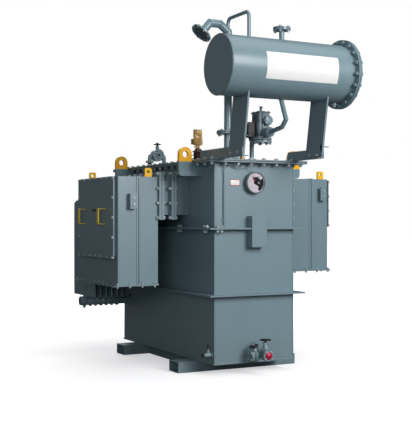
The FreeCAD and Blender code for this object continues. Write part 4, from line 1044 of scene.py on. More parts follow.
# ---------------------------------------------------------------- radiators
@dataclass(frozen=True)
class Radiator:
    """Pressed panels with flutes, header ends and plugs of one radiator."""

    side: Side
    panels: int = 7
    first: float = 0.458
    pitch: float = 0.050
    sheet: float = 0.007
    depth: float = 0.0034
    width: float = 0.520
    height: float = 0.810
    flutes: int = 7
    flute_pitch: float = 0.068
    flute_width: float = 0.046
    flute_end: float = 0.383
    neck: float = 0.092
    shoulder: float = 0.026
    shoulder_taper: float = 0.77
    neck_taper: float = 0.62
    collar: float = 0.050
    header: float = 0.0395

    def build(self) -> None:
        """Builds the panels and what closes the headers."""
        template = self.panel()
        copies = []
        for index in range(self.panels):
            x = self.side.value * (self.first + index * self.pitch)
            copies.append(copied(template, Matrix.Translation(at(x, 0, 0))))
        bpy.data.objects.remove(template)
        panels = deliver(f"{self.side.word}_pressed_panels", GREY, copies)
        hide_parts(f"{self.side.word}_radiator_fins")
        self.header_ends()

    def levels(self) -> tuple[float, float, float]:
        """Y of the headers from the tank's middle, and the heights of both headers."""
        pipes = Span.of("radiator_headers")
        return pipes.middle.y - TANK_MIDDLE.y, pipes.low.z + self.header, pipes.high.z - self.header

    def panel(self) -> bpy.types.Object:
        """One panel across X = 0, pressed on both faces, with a collar round each header."""
        y, z0, z1 = self.levels()
        middle, half = vec(0, y, (z0 + z1) / 2), vec(self.sheet, self.width, self.height) / 2
        plate = block(middle - half, middle + half)
        bpy.ops.object.mode_set(mode="EDIT")
        for index, edge in product(range(self.flutes), (-self.flute_width / 2, self.flute_width / 2)):
            centre = (index - (self.flutes - 1) / 2) * self.flute_pitch
            cut(middle + Y_AXIS * (centre + edge), Y_AXIS)
        for end in (-self.flute_end, self.flute_end):
            cut(middle + Z_AXIS * end, Z_AXIS)
        choose_faces(plate, lambda face: abs(face.normal.x) > 0.9 and self.in_flute(face, middle))
        bpy.ops.mesh.inset(thickness=0.010, depth=self.depth, use_individual=True)
        for sign, header in ((-1, z0), (1, z1)):
            self.stretch_neck(plate, sign, middle, header)
        bpy.ops.mesh.select_all(action="SELECT")
        bpy.ops.mesh.normals_make_consistent(inside=False)
        bpy.ops.object.mode_set(mode="OBJECT")
        across = X_AXIS * (self.sheet / 2 + self.depth)
        ends = (vec(0, y, z) for z in (z0, z1))
        collars = [rod(end - across, end + across, self.collar, 32, bevel=0.0015) for end in ends]
        return joined(plate, *collars)

    def in_flute(self, face: bmesh.types.BMFace, middle: Vector) -> bool:
        """Whether a face lies in one of the flutes."""
        centre = face.calc_center_median() - middle
        nearest = round(centre.y / self.flute_pitch) * self.flute_pitch
        return abs(centre.z) < self.flute_end and abs(centre.y - nearest) < self.flute_width / 4

    def stretch_neck(self, plate: bpy.types.Object, sign: int, middle: Vector, header: float) -> None:
        """Extrudes the sloping shoulder and then the neck towards a header.

        Args:
            plate: The panel, in edit mode.
            sign: 1 for the upper header, -1 for the lower one.
            middle: Middle of the panel.
            header: Height of the header.
        """
        top = middle.z + sign * (self.height / 2 + self.shoulder)

        def facing_header(face: bmesh.types.BMFace) -> bool:
            """Whether a face looks towards the header."""
            return face.normal.z * sign > 0.9

        def under_neck(face: bmesh.types.BMFace) -> bool:
            """Whether a face on the shoulder carries the neck."""
            _, y, z = face.calc_center_median()
            return facing_header(face) and abs(y - middle.y) < self.neck and abs(z - top) < 0.001

        reach = header - top - sign * self.collar * 0.5
        steps = (
            (facing_header, sign * self.shoulder, self.shoulder_taper, top),
            (under_neck, reach, self.neck_taper, top + reach),
        )
        for test, rise, taper, level in steps:
            choose_faces(plate, test)
            bpy.ops.mesh.extrude_region_move(TRANSFORM_OT_translate={"value": (0, 0, rise)})
            bpy.ops.transform.resize(value=(1, taper, 1), center_override=(0, middle.y, level))

    def header_ends(self) -> None:
        """Domed caps on the outer ends, wall collars and the drain and vent plugs."""
        sign = self.side.value
        y, z0, z1 = self.levels()
        wall = Span.of("tank_right_wall").high.x - TANK_MIDDLE.x
        end, out = Span.of("radiator_headers").face(sign), X_AXIS * sign
        caps, plugs, beads = [], [], []
        for z, up in ((z0, -1), (z1, 1)):
            tip, foot = vec(end - sign * 0.016, TANK_MIDDLE.y + y, z), at(sign * wall, y, z)
            dome = [(0.0412, 0), (0.0412, 0.007), (0.039, 0.011), (0.030, 0.0145), (0.012, 0.016)]
            caps += [turned(tip, out, dome), turned(foot, out, [(0.058, 0), (0.058, 0.010), (0.055, 0.012)])]
            beads.append(ring(foot + out * 0.012, X_AXIS, 0.041, 0.004))
            seat = tip + vec(-sign * 0.024, 0, up * 0.036)
            steps = [(0.015, 0), (0.015, 0.012), (0.011, 0.013), (0.011, 0.024), (0.007, 0.027)]
            plugs.append(turned(seat, Z_AXIS * up, steps, 12))
        deliver(f"{self.side.word}_header_caps", GREY_PIPE, caps)
        deliver(f"{self.side.word}_header_plugs", GREY_CAST, plugs)
        deliver(f"{self.side.word}_header_welds", WELD, beads)


# ---------------------------------------------------------------- conservator
@dataclass(frozen=True)
class Conservator:
    """Sign plate, end bolting, welds, plug and supports' bolts of the conservator."""

    radius: float = 0.2135
    plate_x: tuple[float, float] = (-0.249, 0.351)
    plate_angles: tuple[float, float] = (-28.8, 23.0)
    plate_thickness: float = 0.0012
    end_bolts: int = 18
    end_bolt: float = 0.016
    bolt_circle: float = 0.236
    arm_web: tuple[float, float] = (0.334, 0.346)
    arm_foot: float = 0.316

    @property
    def shell(self) -> Span:
        """Box of the shell."""
        return Span.of("conservator_shell")

    def on_axis(self, x: float) -> Vector:
        """Point of the shell's axis."""
        return vec(x, *self.shell.middle.yz)

    def build(self) -> None:
        """Builds every piece of the conservator."""
        self.sign_plate()
        self.end_bolting()
        self.seams()
        self.fittings()
        self.support_bolts()

    def sign_plate(self) -> None:
        """Blank white plate rolled to the shell's front."""
        start, end = self.plate_x
        middle = self.on_axis(TANK_MIDDLE.x + (start + end) / 2)
        bpy.ops.object.select_all(action="DESELECT")
        bpy.ops.mesh.primitive_cylinder_add(
            vertices=192, radius=self.radius + self.plate_thickness / 2, depth=end - start,
            end_fill_type="NOTHING", location=middle, rotation=(0, math.pi / 2, 0),
        )
        plate = place_applied()
        bpy.ops.object.mode_set(mode="EDIT")
        for angle, side in zip(self.plate_angles, (-1, 1)):
            turn = math.radians(angle)
            cut(middle, vec(0, math.sin(turn), math.cos(turn)) * side, clear=True)
        cut(middle, Y_AXIS, clear=True)
        bpy.ops.object.mode_set(mode="OBJECT")
        pick(plate)
        thick = plate.modifiers.new("thickness", "SOLIDIFY")
        thick.thickness, thick.offset = self.plate_thickness, 0.0
        bpy.ops.object.modifier_apply(modifier=thick.name)
        deliver("blank_sign_plate", LABEL, [plate])

    def end_bolting(self) -> None:
        """Bolts through the right end's flange and cover, with the gasket between them."""
        flange, cover = Span.of("conservator_flange"), Span.of("conservator_end_cover")
        near, joint, far = map(self.on_axis, (flange.low.x, flange.high.x, cover.high.x))
        spots = circled(near, X_AXIS, self.bolt_circle, self.end_bolts, 0.1)
        fastened("end_flange_nuts", self.end_bolt, Kind.NUT, facing(spots, -X_AXIS), GREY_CAST)
        outer = facing([spot + far - near for spot in spots], X_AXIS)
        fastened("end_cover_bolts", self.end_bolt, Kind.HEAD, outer, GREY_CAST)
        deliver("end_cover_gasket", RUBBER, [disc(joint, X_AXIS, 0.003, 0.2562, 96)])

    def seams(self) -> None:
        """Weld beads at both ends of the shell and along its seam."""
        left, right = map(self.on_axis, (self.shell.low.x, Span.of("conservator_flange").low.x))
        back = vec(0, 0.62, -0.785).normalized() * self.radius
        beads = [
            ring(left, X_AXIS, self.radius, 0.0032, 96),
            ring(right, X_AXIS, self.radius + 0.001, 0.0042, 96),
            rod(left + back, right + back, 0.003, 8),
        ]
        deliver("conservator_weld_seams", WELD, beads, smooth=60.0)

    def fittings(self) -> None:
        """Filler bolts and weld, and the drain plug under the flanged end."""
        filler, shell = Span.of("filler"), self.shell
        top = vec(*filler.middle.xy, filler.high.z)
        bolted("filler", 0.012, bolt_circle(top, Z_AXIS, 0.047, 4, math.pi / 4), 0.022)
        deliver("filler_gasket", RUBBER, [disc(top - Z_AXIS * 0.011, Z_AXIS, 0.002, 0.0646, 32)])
        foot = vec(shell.high.x - 0.055, shell.middle.y, shell.low.z + 0.004)
        steps = [(0.020, 0), (0.020, 0.014), (0.026, 0.015), (0.026, 0.024), (0.014, 0.025), (0.014, 0.038)]
        deliver("conservator_drain_plug", GREY_CAST, [turned(foot, -Z_AXIS, steps, 16)])
        collar = vec(*filler.middle.xy, shell.high.z - 0.001)
        deliver("filler_weld", WELD, [ring(collar, Z_AXIS, 0.0205, 0.004, 24)], smooth=60.0)

    def support_bolts(self) -> None:
        """Bolts through the arms and legs, and the arms' foot bolts on the cover."""
        floor, (inner, outer) = Span.of("conservator_arms").low.z, self.arm_web
        z = floor + 0.028
        webs, feet = [], []
        for sign in (-1, 1):
            webs += facing([at(sign * outer, y, z) for y in (-1.105, -1.205)], X_AXIS * sign)
            feet += facing([at(sign * self.arm_foot, y, floor + 0.006) for y in (-0.880, -0.815)], Z_AXIS)
        bolted("arm", 0.014, webs, outer - inner)
        fastened("arm_foot_bolts", 0.012, Kind.HEAD, feet)
        stud = rod(at(0.343, -1.255, z + 0.060), at(0.400, -1.255, z + 0.060), 0.005, 12)
        plate = block(at(0.334, -1.268, z + 0.030), at(0.342, -1.242, z + 0.075), 0.001)
        deliver("arm_earthing_stud", HIGHLIT_BOLT, [stud, plate])


# ---------------------------------------------------------------- explosion vent
@dataclass(frozen=True)
class ExplosionVent:
    """Flange bolts, mitre welds, diaphragm and clamp of the vent pipe."""

    x: float = -0.226
    y: float = -0.850
    radius: float = 0.030
    height: float = 0.953
    flange_level: float = 0.201
    plate: float = 0.012
    bell_reach: float = 0.034

    def path(self) -> list[Vector]:
        """Corners of the pipe's axis, from its foot to the bell."""
        foot = at(self.x, self.y, Span.of("tank_cover").high.z)
        path = [foot, foot + Z_AXIS * self.height]
        for step in ((-0.070, 0, 0.052), (-0.083, 0, 0), (-0.045, 0, -0.051)):
            path.append(path[-1] + vec(*step))
        return path

    def build(self) -> None:
        """Builds every piece of the vent."""
        path, plate = self.path(), Z_AXIS * self.plate
        foot, joint = path[0], path[0] + Z_AXIS * self.flange_level
        bolted("vent_flange", 0.012, bolt_circle(joint + plate, Z_AXIS, 0.067, 6, 0.3), 2 * self.plate)
        deliver("vent_gasket", RUBBER, [disc(joint, Z_AXIS, 0.0024, 0.0866, 40)])
        fastened("vent_foot_bolts", 0.010, Kind.HEAD, bolt_circle(foot + plate, Z_AXIS, 0.046, 4, 0.8))
        beads = [ring(foot + plate, Z_AXIS, self.radius, 0.004, 32)]
        for before, corner, after in zip(path, path[1:], path[2:]):
            along = ((corner - before).normalized() + (after - corner).normalized()).normalized()
            beads.append(ring(corner, along, self.radius + 0.0006, 0.0024, 32))
        deliver("vent_weld_seams", WELD, beads, smooth=60.0)
        self.bell(path[-1], (path[-1] - path[-2]).normalized())

    def bell(self, end: Vector, out: Vector) -> None:
        """Diaphragm, its clamping bolts and its gasket."""
        face = end + out * (self.bell_reach + self.plate)
        floor = face - out * self.plate / 2
        deliver("vent_diaphragm", DIAPHRAGM, [rod(floor, floor + out * 0.002, 0.0578, 40)])
        deliver("vent_diaphragm_seal", RUBBER, [ring(floor + out * 0.001, out, 0.0565, 0.002, 40)])
        bolted("bell", 0.008, bolt_circle(face, out, 0.070, 8, 0.2), self.plate)


# ---------------------------------------------------------------- gas relay
@dataclass(frozen=True)
class GasRelay:
    """Windows, ribs, bolts and cock of the gas relay; heights are from the cover."""

    low: Vector = vec(-0.050, -1.006, 0.161)
    high: Vector = vec(0.045, -0.895, 0.351)
    axis_y: float = -0.9505
    boss: Vector = vec(0.015, -1.036, 0.287)
    outlet: Vector = vec(0, -1.086, 0.196)
    base_grip: float = 0.036
    pane_inset: float = 0.007

    def build(self) -> None:
        """Builds every piece of the relay."""
        self.casting()
        self.bolting()
        self.terminal_box(Span.of("relay_terminal_box"))

    @staticmethod
    def over(x: float, y: float, z: float) -> Vector:
        """Point at a height above the cover."""
        return at(x, y, z + Span.of("tank_cover").high.z)

    def casting(self) -> None:
        """Ribs, lid, skirt and window frames of the body."""
        (left, front, floor), (right, rear, head) = self.low, self.high
        boxes = [((-0.024, front - 0.009, floor - 0.004), (-0.008, front + 0.004, head + 0.004))]
        for grow, foot, top in ((0.004, head - 0.008, head + 0.004), (0.003, floor - 0.002, floor + 0.010)):
            boxes.append(((left - 0.003, front - grow, foot), (right + 0.003, rear + 0.003, top)))
        ribs = [block(self.over(*start), self.over(*end), 0.002) for start, end in boxes]
        deliver("relay_ribs", GREY_CAST, ribs)
        frames = [
            (-0.992, -0.916, head - 0.062, head - 0.018),
            (-0.996, -0.970, floor + 0.024, floor + 0.110),
        ]
        flaps = [block(self.over(left - 0.004, a, c), self.over(left, b, d), 0.0015) for a, b, c, d in frames]
        deliver("relay_window_frames", GREY_CAST, flaps)
        y0, y1, z0, z1 = (edge + self.pane_inset * way for edge, way in zip(frames[0], (1, -1, 1, -1)))
        pane = block(self.over(left - 0.005, y0, z0), self.over(left - 0.003, y1, z1))
        deliver("relay_window", DIAPHRAGM, [pane])

    def bolting(self) -> None:
        """Bolts of the base flanges, the lid and the boss, and the turned caps and cock."""
        floor, head = self.low.z, self.high.z
        middle = self.over(0, self.axis_y, floor)
        spots = circled(middle, Z_AXIS, 0.070, 8, 0.39)
        clear = [spot for spot in spots if abs(spot.y - middle.y) > 0.045 or spot.x > middle.x]
        fastened("relay_flange_bolts", 0.010, Kind.HEAD, facing(clear, Z_AXIS))
        under = facing([spot - Z_AXIS * self.base_grip for spot in spots], -Z_AXIS)
        fastened("relay_flange_nuts", 0.010, Kind.NUT, under)
        lid = [self.over(x, y, head + 0.004) for x in (-0.040, 0.036) for y in (-0.996, -0.905)]
        fastened("relay_lid_bolts", 0.007, Kind.HEAD, facing(lid, Z_AXIS))
        boss, outlet = self.over(*self.boss), self.over(*self.outlet)
        cock = self.over(0, self.axis_y, head + 0.028)
        lever, grip = cock + Z_AXIS * 0.0145, vec(0.018, 0.004, 0.0025)
        parts = [
            turned(boss, -Y_AXIS, [(0.036, -0.010), (0.036, 0.002), (0.030, 0.006), (0.012, 0.008)], 28),
            turned(outlet, -Y_AXIS, [(0.037, -0.016), (0.037, 0.0), (0.024, 0.006), (0.018, 0.012)], 28),
            turned(cock, Z_AXIS, [(0.011, 0), (0.011, 0.008), (0.006, 0.009), (0.006, 0.020)], 12),
            block(lever - grip, lever + grip, 0.001),
        ]
        deliver("relay_caps", GREY_CAST, parts)
        seats = bolt_circle(boss - Y_AXIS * 0.002, -Y_AXIS, 0.030, 4, 0.8)
        fastened("relay_boss_bolts", 0.006, Kind.HEAD, seats)

    def terminal_box(self, box: Span) -> None:
        """Lid, screws and cable gland of the terminal box."""
        low, high = box.low, box.high
        start, end = low + vec(-0.004, 0.003, 0.004), vec(low.x + 0.002, high.y - 0.003, high.z - 0.004)
        steps = [(0.013, 0), (0.013, 0.008), (0.010, 0.009), (0.010, 0.020), (0.006, 0.024)]
        gland = turned(vec(*box.middle.xy, low.z), -Z_AXIS, steps, 12)
        deliver("terminal_box_lid", HOUSING, [block(start, end, 0.002), gland])
        corners = product((low.y + 0.010, high.y - 0.010), (low.z + 0.012, high.z - 0.012))
        screws = facing([vec(start.x, y, z) for y, z in corners], -X_AXIS)
        fastened("terminal_box_screws", 0.005, Kind.HEAD, screws)


# ---------------------------------------------------------------- valves
@dataclass(frozen=True)
class Valves:
    """Flange bolts, gland nuts and wheel nuts of the three valves.

    The drain valve's height is from the floor plate, and the filter valve's from the cover.
    """

    drain: Vector = vec(0.015, -0.990, 0.060)
    sampling: Vector = vec(-0.036, -0.945, 0.144)
    filter: Vector = vec(-0.183, 0.506, 0.112)
    tilt: float = 18.0

    @property
    def stem(self) -> Vector:
        """Direction of the sampling valve's stem."""
        turn = math.radians(self.tilt)
        return vec(-math.sin(turn), 0, math.cos(turn))

    def build(self) -> None:
        """Builds the fittings of every valve."""
        self.drain_fittings()
        self.sampling_fittings()
        self.filter_fittings()
        self.wheel_nuts()

    def drain_fittings(self) -> None:
        """Drain valve: flange bolts, bonnet bolts, gland and the plug's collar."""
        middle = at(*self.drain) + Z_AXIS * Span.of("tank_floor").high.z
        face, bonnet = middle - Y_AXIS * 0.048, middle + Z_AXIS * 0.048
        bolted("drain_flange", 0.008, bolt_circle(face, -Y_AXIS, 0.0345, 4, math.pi / 4), 0.014)
        fastened("drain_bonnet_bolts", 0.006, Kind.HEAD, bolt_circle(bonnet, Z_AXIS, 0.031, 6))
        nut = turned(bonnet + Z_AXIS * 0.030, Z_AXIS, [(0.0185, 0), (0.0185, 0.012), (0.0165, 0.014)], 6)
        deliver("drain_gland_nut", HIGHLIT_BOLT, [nut])
        collar = turned(face, -Y_AXIS, [(0.0275, 0), (0.0275, 0.004), (0.0245, 0.006)], 32)
        deliver("drain_plug_collar", CAP, [collar])

    def sampling_fittings(self) -> None:
        """Sampling valve: blank flange bolts and gland."""
        middle, stem = at(*self.sampling), self.stem
        spots = circled(middle - X_AXIS * 0.056, X_AXIS, 0.034, 4, math.pi / 4)
        bolted("sampling_flange", 0.008, facing(spots, -X_AXIS), 0.014)
        nut = turned(middle + stem * 0.040, stem, [(0.0175, 0), (0.0175, 0.012), (0.015, 0.014)], 6)
        deliver("sampling_gland_nut", HIGHLIT_BOLT, [nut])

    def filter_fittings(self) -> None:
        """Filter valve: body bolts, centre plug, foot bolts and a dark riser sleeve."""
        x, y, rise = self.filter
        top = Span.of("tank_cover").high.z
        middle = at(x, y, top + rise)
        face = middle - Y_AXIS * 0.030
        bolted("filter_body", 0.008, bolt_circle(face, -Y_AXIS, 0.043, 8, 0.2), 0.060)
        plug = turned(face - Y_AXIS * 0.008, -Y_AXIS, [(0.012, 0), (0.012, 0.004), (0.008, 0.006)], 6)
        deliver("filter_centre_plug", HOUSING, [plug])
        feet = [at(x + leg, y, top + 0.012) for leg in (-0.072, 0.065)]
        seats = [seat for foot in feet for seat in bolt_circle(foot, Z_AXIS, 0.0265, 4, 0.8)]
        fastened("filter_foot_bolts", 0.006, Kind.HEAD, seats)
        sleeve = feet[0] + Z_AXIS * 0.001
        deliver("filter_riser_sleeve", RUBBER, [rod(sleeve, sleeve + Z_AXIS * 0.030, 0.0182, 24)])

    def wheel_nuts(self) -> None:
        """The nut and washer that hold each handwheel on its stem; they turn with the wheel."""
        drain, filtering = Span.of("drain_handwheel"), Span.of("filter_handwheel")
        seats = {
            Body.DRAIN: (vec(*drain.middle.xy, drain.high.z - 0.007), Z_AXIS),
            Body.FILTER: (vec(*filtering.middle.xy, filtering.high.z - 0.007), Z_AXIS),
            Body.SAMPLING: (at(*self.sampling) + self.stem * 0.086, self.stem),
        }
        steps = [(0.0105, 0), (0.0105, 0.0014), (0.0092, 0.0015), (0.0092, 0.0055), (0.0078, 0.0064)]
        for body, (seat, axis) in seats.items():
            name = body.value.replace("wheel", "handwheel_nut")
            deliver(name, HIGHLIT_BOLT, [turned(seat, axis, steps, 6)], body)


# ---------------------------------------------------------------- dial, bushing and small parts
@dataclass(frozen=True)
class Dial:
    """Card, scale, pointers, bezel and glass of the dial thermometer."""

    radius: float = 0.074
    first_angle: float = 225.0
    sweep: float = 270.0
    marks: int = 30
    numbered: int = 6
    highest: int = 150
    print_depth: float = 0.0064

    @property
    def front(self) -> Vector:
        """Middle of the case's front edge."""
        case = Span.of("dial_thermometer")
        return vec(case.middle.x, case.low.y, case.middle.z)

    def spot(self, angle: float, radius: float, depth: float) -> Vector:
        """Point on the dial at an angle in degrees, counted from +X towards +Z."""
        turn = math.radians(angle)
        return self.front + vec(radius * math.cos(turn), depth, radius * math.sin(turn))

    def angle(self, index: int, count: int) -> float:
        """Angle of one of the scale's even steps."""
        return self.first_angle - self.sweep * index / count

    def bar(self, angle: float, inner: float, outer: float, width: float, depth: float) -> bpy.types.Object:
        """Flat bar on the dial along a radius."""
        bpy.ops.object.select_all(action="DESELECT")
        bpy.ops.mesh.primitive_cube_add(size=1)
        piece = bpy.context.object
        piece.scale = (outer - inner, 0.0008, width)
        piece.rotation_euler = (0, -math.radians(angle), 0)
        piece.location = self.spot(angle, (inner + outer) / 2, depth)
        return place_applied()

    def pointer(self, angle: float, length: float, width: float, depth: float) -> bpy.types.Object:
        """Tapered pointer with a short tail."""
        start, end = self.spot(angle, -0.2 * length, depth), self.spot(angle, length, depth)
        piece = rod(start, end, width, 4, width * 0.25)
        bpy.ops.object.mode_set(mode="EDIT")
        bpy.ops.mesh.select_all(action="SELECT")
        bpy.ops.transform.resize(value=(1, 0.18, 1), center_override=(start + end) / 2)
        bpy.ops.object.mode_set(mode="OBJECT")
        return piece

    def build(self) -> None:
        """Builds every piece of the dial."""
        centre = self.front
        card = rod(centre + Y_AXIS * 0.0078, centre + Y_AXIS * 0.0066, self.radius - 0.0004, 64)
        deliver("dial_card", FACE, [card])
        ink = []
        for index in range(self.marks + 1):
            inner, width = (0.060, 0.0016) if index % 5 == 0 else (0.064, 0.0008)
            ink.append(self.bar(self.angle(index, self.marks), inner, 0.069, width, self.print_depth))
        deliver("dial_scale", INK, ink + self.numbers())
        knob = [(0.013, 0), (0.013, 0.0028), (0.010, 0.0038)]
        hands = [
            self.pointer(-36.0, 0.066, 0.0150, 0.0045),
            self.sector(8.0, 100.0, 0.002, 0.044),
            self.sector(-66.0, 30.0, 0.032, 0.069),
            self.bar(118.0, -0.004, 0.044, 0.018, 0.0050),
            turned(centre + Y_AXIS * 0.006, -Y_AXIS, knob, 24),
        ]
        deliver("dial_pointers", INK, hands)
        deliver("dial_red_pointer", CAP, [self.pointer(122.0, 0.056, 0.0055, 0.0036)])
        rims = ((0.0012, 0.0775, 0.0030), (0.030, 0.0805, 0.0022))
        bezel = [ring(centre + Y_AXIS * depth, Y_AXIS, radius, wire, 64) for depth, radius, wire in rims]
        deliver("dial_bezel", CASE, bezel)
        glass = rod(centre + Y_AXIS * 0.0022, centre + Y_AXIS * 0.0012, 0.0748, 64)
        deliver("dial_glass", GLASS, [glass])

    def sector(self, first: float, last: float, inner: float, outer: float) -> bpy.types.Object:
        """Black contact plate: a sector of a disc, cut off near its middle.

        Args:
            first: Angle of its first edge.
            last: Angle of its last edge.
            inner: Distance of the cut from the dial's middle.
            outer: Its radius.

        Returns:
            The new object.
        """
        plate = rod(self.front + Y_AXIS * 0.0062, self.front + Y_AXIS * 0.0052, outer, 72)
        middle = math.radians((first + last) / 2)
        inward = -vec(math.cos(middle), 0, math.sin(middle))
        cuts = [(self.front - inward * inner, inward)]
        for angle, side in ((first, -1), (last, 1)):
            turn = math.radians(angle)
            cuts.append((self.front, vec(-math.sin(turn), 0, math.cos(turn)) * side))
        bpy.ops.object.mode_set(mode="EDIT")
        for point, normal in cuts:
            cut(point, normal, clear=True, fill=True)
        bpy.ops.object.mode_set(mode="OBJECT")
        return plate

    def numbers(self) -> list[bpy.types.Object]:
        """Plain numbers of the scale."""
        made, last = [], self.numbered - 1
        for index in range(self.numbered):
            place = self.spot(self.angle(index, last), 0.050, self.print_depth)
            bpy.ops.object.select_all(action="DESELECT")
            bpy.ops.object.text_add(location=place, rotation=(math.pi / 2, 0, 0))
            text = bpy.context.object.data
            text.body = str(self.highest * index // last)
            text.size, text.extrude = 0.013, 0.0003
            text.align_x, text.align_y = "CENTER", "CENTER"
            bpy.ops.object.convert(target="MESH")
            made.append(place_applied())
        return made


@dataclass(frozen=True)
class SmallParts:
    """Porcelain, palm bolts, pocket cap, low cock's plug and the thin cables."""

    core: float = 0.032
    sheds: tuple[float, ...] = (0.030, 0.058, 0.086)

    def build(self) -> None:
        """Builds every small part."""
        self.bushing()
        self.palm()
        self.pocket()
        self.cock()
        self.cables()

    def bushing(self) -> None:
        """Porcelain with rounded sheds on a clamped foot."""
        node, core = Span.of("neutral_bushing"), self.core
        foot = vec(*node.middle.xy, node.low.z)
        shed = (node.high.x - node.low.x) / 2
        profile = [(shed - 0.001, 0.0), (shed, 0.002), (shed, 0.011), (shed - 0.004, 0.014), (core, 0.020)]
        lip = [(0.008, 0.0025), (0.002, 0.0038), (0, 0.0062), (0.002, 0.0088), (0.010, 0.0125)]
        for level in self.sheds:
            profile += [(core, level), *((shed - inset, level + rise) for inset, rise in lip)]
            profile.append((core + 0.004, level + 0.018))
        profile += [(core, 0.106), (core * 0.82, 0.113), (core * 0.7, 0.118)]
        porcelain = deliver("porcelain_bushing", GLAZE, [turned(foot, Z_AXIS, profile, 48)], smooth=60.0)
        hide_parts("neutral_bushing")
        clamps = bolt_circle(foot, Z_AXIS, shed + 0.012, 4, 0.4)
        fastened("bushing_clamp_bolts", 0.009, Kind.HEAD, clamps)

    def palm(self) -> None:
        """Clamp bolts of the brass palm, and the nut on its stem."""
        palm = Span.of("terminal_palm")
        left, (x, y, _) = palm.low.x, palm.middle
        seats, nuts = [], []
        for z in (palm.low.z + 0.042, palm.low.z + 0.066):
            seats += [(vec(left + 0.007, y - 0.017, z), -Y_AXIS), (vec(left, y, z), -X_AXIS)]
            nuts.append((vec(left + 0.007, y + 0.017, z), Y_AXIS))
        fastened("palm_clamp_bolts", 0.008, Kind.HEAD, seats, BRASS)
        fastened("palm_clamp_nuts", 0.008, Kind.NUT, nuts, BRASS)
        steps = [(0.022, 0), (0.022, 0.012), (0.019, 0.014)]
        deliver("palm_stem_nut", BRASS, [turned(vec(x, y, palm.low.z + 0.006), Z_AXIS, steps, 6)])

    def pocket(self) -> None:
        """Dark cap on the thermometer pocket."""
        pocket = Span.of("thermometer_pocket")
        top = vec(*pocket.middle.xy, pocket.high.z - 0.012)
        cap = turned(top, Z_AXIS, [(0.017, 0), (0.017, 0.013), (0.012, 0.016), (0.006, 0.0165)], 12)
        deliver("pocket_cap", HOUSING, [cap])

    def cock(self) -> None:
        """Dark plug and handle of the low cock."""
        stub, axis = Span.of("earth_stub"), Span.of("tank_floor").high.z + 0.064
        x, y = stub.low.x, stub.middle.y
        plug = turned(vec(x + 0.012, y, axis), -X_AXIS, [(0.017, 0), (0.017, 0.010), (0.013, 0.012)], 6)
        handle = rod(vec(x + 0.050, y, axis + 0.045), vec(x + 0.050, y, stub.high.z), 0.0078, 12)
        deliver("low_cock_plug", HOUSING, [plug, handle])

    def cables(self) -> None:
        """Thin cables from the dial and the pocket to the conduit under the rim."""
        dial = [
            (-0.030, -0.885, 1.518), (-0.075, -0.892, 1.556), (-0.140, -0.890, 1.545), (-0.215, -0.886, 1.566),
        ]
        pocket = [(-0.098, -0.862, 1.590), (-0.135, -0.900, 1.560), (-0.205, -0.905, 1.572)]
        end = [(-0.262, -0.874, 1.560), (-0.268, -0.867, 1.520)]
        runs = [cable([at(*place) for place in places + end], 0.0024) for places in (dial, pocket)]
        deliver("capillary_cables", GREY_PIPE, runs)


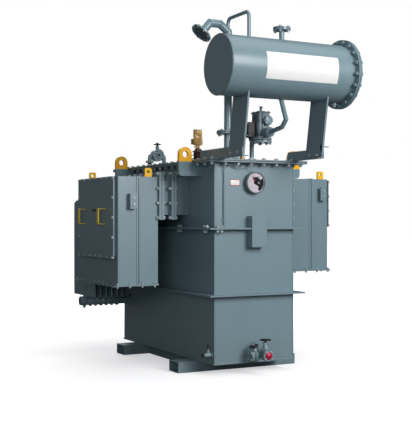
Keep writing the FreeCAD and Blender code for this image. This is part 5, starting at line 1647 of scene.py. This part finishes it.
# ---------------------------------------------------------------- studio
@dataclass(frozen=True)
class Studio:
    """Pale floor, soft lights and the camera."""

    floor_size: float = 60.0
    camera_place: Vector = vec(-3.6062, -6.9349, 1.1789)
    camera_turn: float = -27.7
    lens: float = 78.52
    rise: float = 0.0091

    def build(self) -> None:
        """Builds the studio."""
        self.floor()
        self.world()
        self.soft_light("key", at(1.5, -7.0, 3.5), 3.0, 400.0, (1.0, 0.99, 0.98))
        self.soft_light("overhead", at(0.4, -1.2, 6.4), 5.0, 105.0, (0.97, 0.985, 1.0))
        self.soft_light("front_left", at(-5.0, -6.6, 2.4), 2.6, 95.0, (0.92, 0.97, 1.0))
        self.soft_light("rear_fill", at(1.5, 6.5, 4.5), 4.0, 170.0, (1.0, 1.0, 1.0))
        self.camera()

    def floor(self) -> None:
        """Plain white floor that is not part of the object; to the camera it glows with painted light, dimmer
        grey near its middle where the transformer stands and white from 4 m out, while other rays see it dark.
        """
        bpy.ops.object.select_all(action="DESELECT")
        bpy.ops.mesh.primitive_plane_add(size=self.floor_size, location=(0, 0, -0.0005))
        floor = bpy.context.object
        floor.name = "studio_floor"
        material = bpy.data.materials.new("studio_floor")
        graph = Graph(material)
        seen = graph.node("ShaderNodeLightPath", output="Is Camera Ray")
        away = graph.node("ShaderNodeVectorMath", {"operation": "LENGTH"}, {0: graph.place}, "Value")
        # Painted glow: grey within 1.3 m of the middle, rising to white at 4 m, so the floor reads white while
        # the lamps' shadows near the transformer still show.
        white = graph.mix(graph.ramp(away, 1.3, 4.0), rgb(0.52, 0.52, 0.53), rgb(1, 1, 1))
        graph.feed(Base_Color=graph.mix(seen, rgb(0.14, 0.14, 0.14), rgb(0.78, 0.78, 0.78)), Roughness=0.85)
        graph.feed(Emission_Color=graph.mix(seen, rgb(0, 0, 0), white), Emission_Strength=1.0)
        floor.data.materials.append(material)

    def world(self) -> None:
        """White to the eye, and a dimmer fill for the object."""
        world = bpy.data.worlds.new("studio")
        bpy.context.scene.world = world
        world.use_nodes = True
        nodes, links = world.node_tree.nodes, world.node_tree.links
        backdrop = nodes["Background"]
        path = nodes.new("ShaderNodeLightPath")
        strength = nodes.new("ShaderNodeMix")
        strength.inputs[2].default_value, strength.inputs[3].default_value = 0.14, 1.0
        links.new(path.outputs["Is Camera Ray"], strength.inputs[0])
        links.new(strength.outputs[0], backdrop.inputs["Strength"])
        backdrop.inputs["Color"].default_value = rgb(1, 1, 1)

    def soft_light(
        self, name: str, place: Vector, size: float, power: float, colour: Sequence[float]
    ) -> None:
        """Square softbox that faces the transformer's middle.

        Args:
            name: The light's name.
            place: Where it hangs.
            size: Side of the square.
            power: Watts.
            colour: Its colour.
        """
        data = bpy.data.lights.new(name, "AREA")
        data.size, data.energy, data.color = size, power, colour
        lamp = bpy.data.objects.new(name, data)
        bpy.context.scene.collection.objects.link(lamp)
        lamp.location = place
        lamp.rotation_euler = (at(0, 0, 1.2) - place).to_track_quat("-Z", "Y").to_euler()

    def camera(self) -> None:
        """Camera at eye level, to the left of the front."""
        data = bpy.data.cameras.new("camera")
        data.lens, data.shift_y = self.lens, self.rise
        data.clip_start, data.clip_end = 0.1, 100.0
        camera = bpy.data.objects.new("camera", data)
        bpy.context.scene.collection.objects.link(camera)
        camera.location = at(*self.camera_place)
        camera.rotation_euler = (math.pi / 2, 0, math.radians(self.camera_turn))
        bpy.context.scene.camera = camera
        bpy.context.scene.view_settings.view_transform = "Standard"


def main() -> None:
    """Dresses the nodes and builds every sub-assembly."""
    logging.basicConfig(level=logging.INFO, format="%(message)s")
    dress_nodes()
    Studio().build()
    Tank().build()
    for side in Side:
        CableBoxDress(side).build()
        Radiator(side).build()
    Conservator().build()
    ExplosionVent().build()
    GasRelay().build()
    Valves().build()
    Dial().build()
    SmallParts().build()


if __name__ == "__main__":
    main()
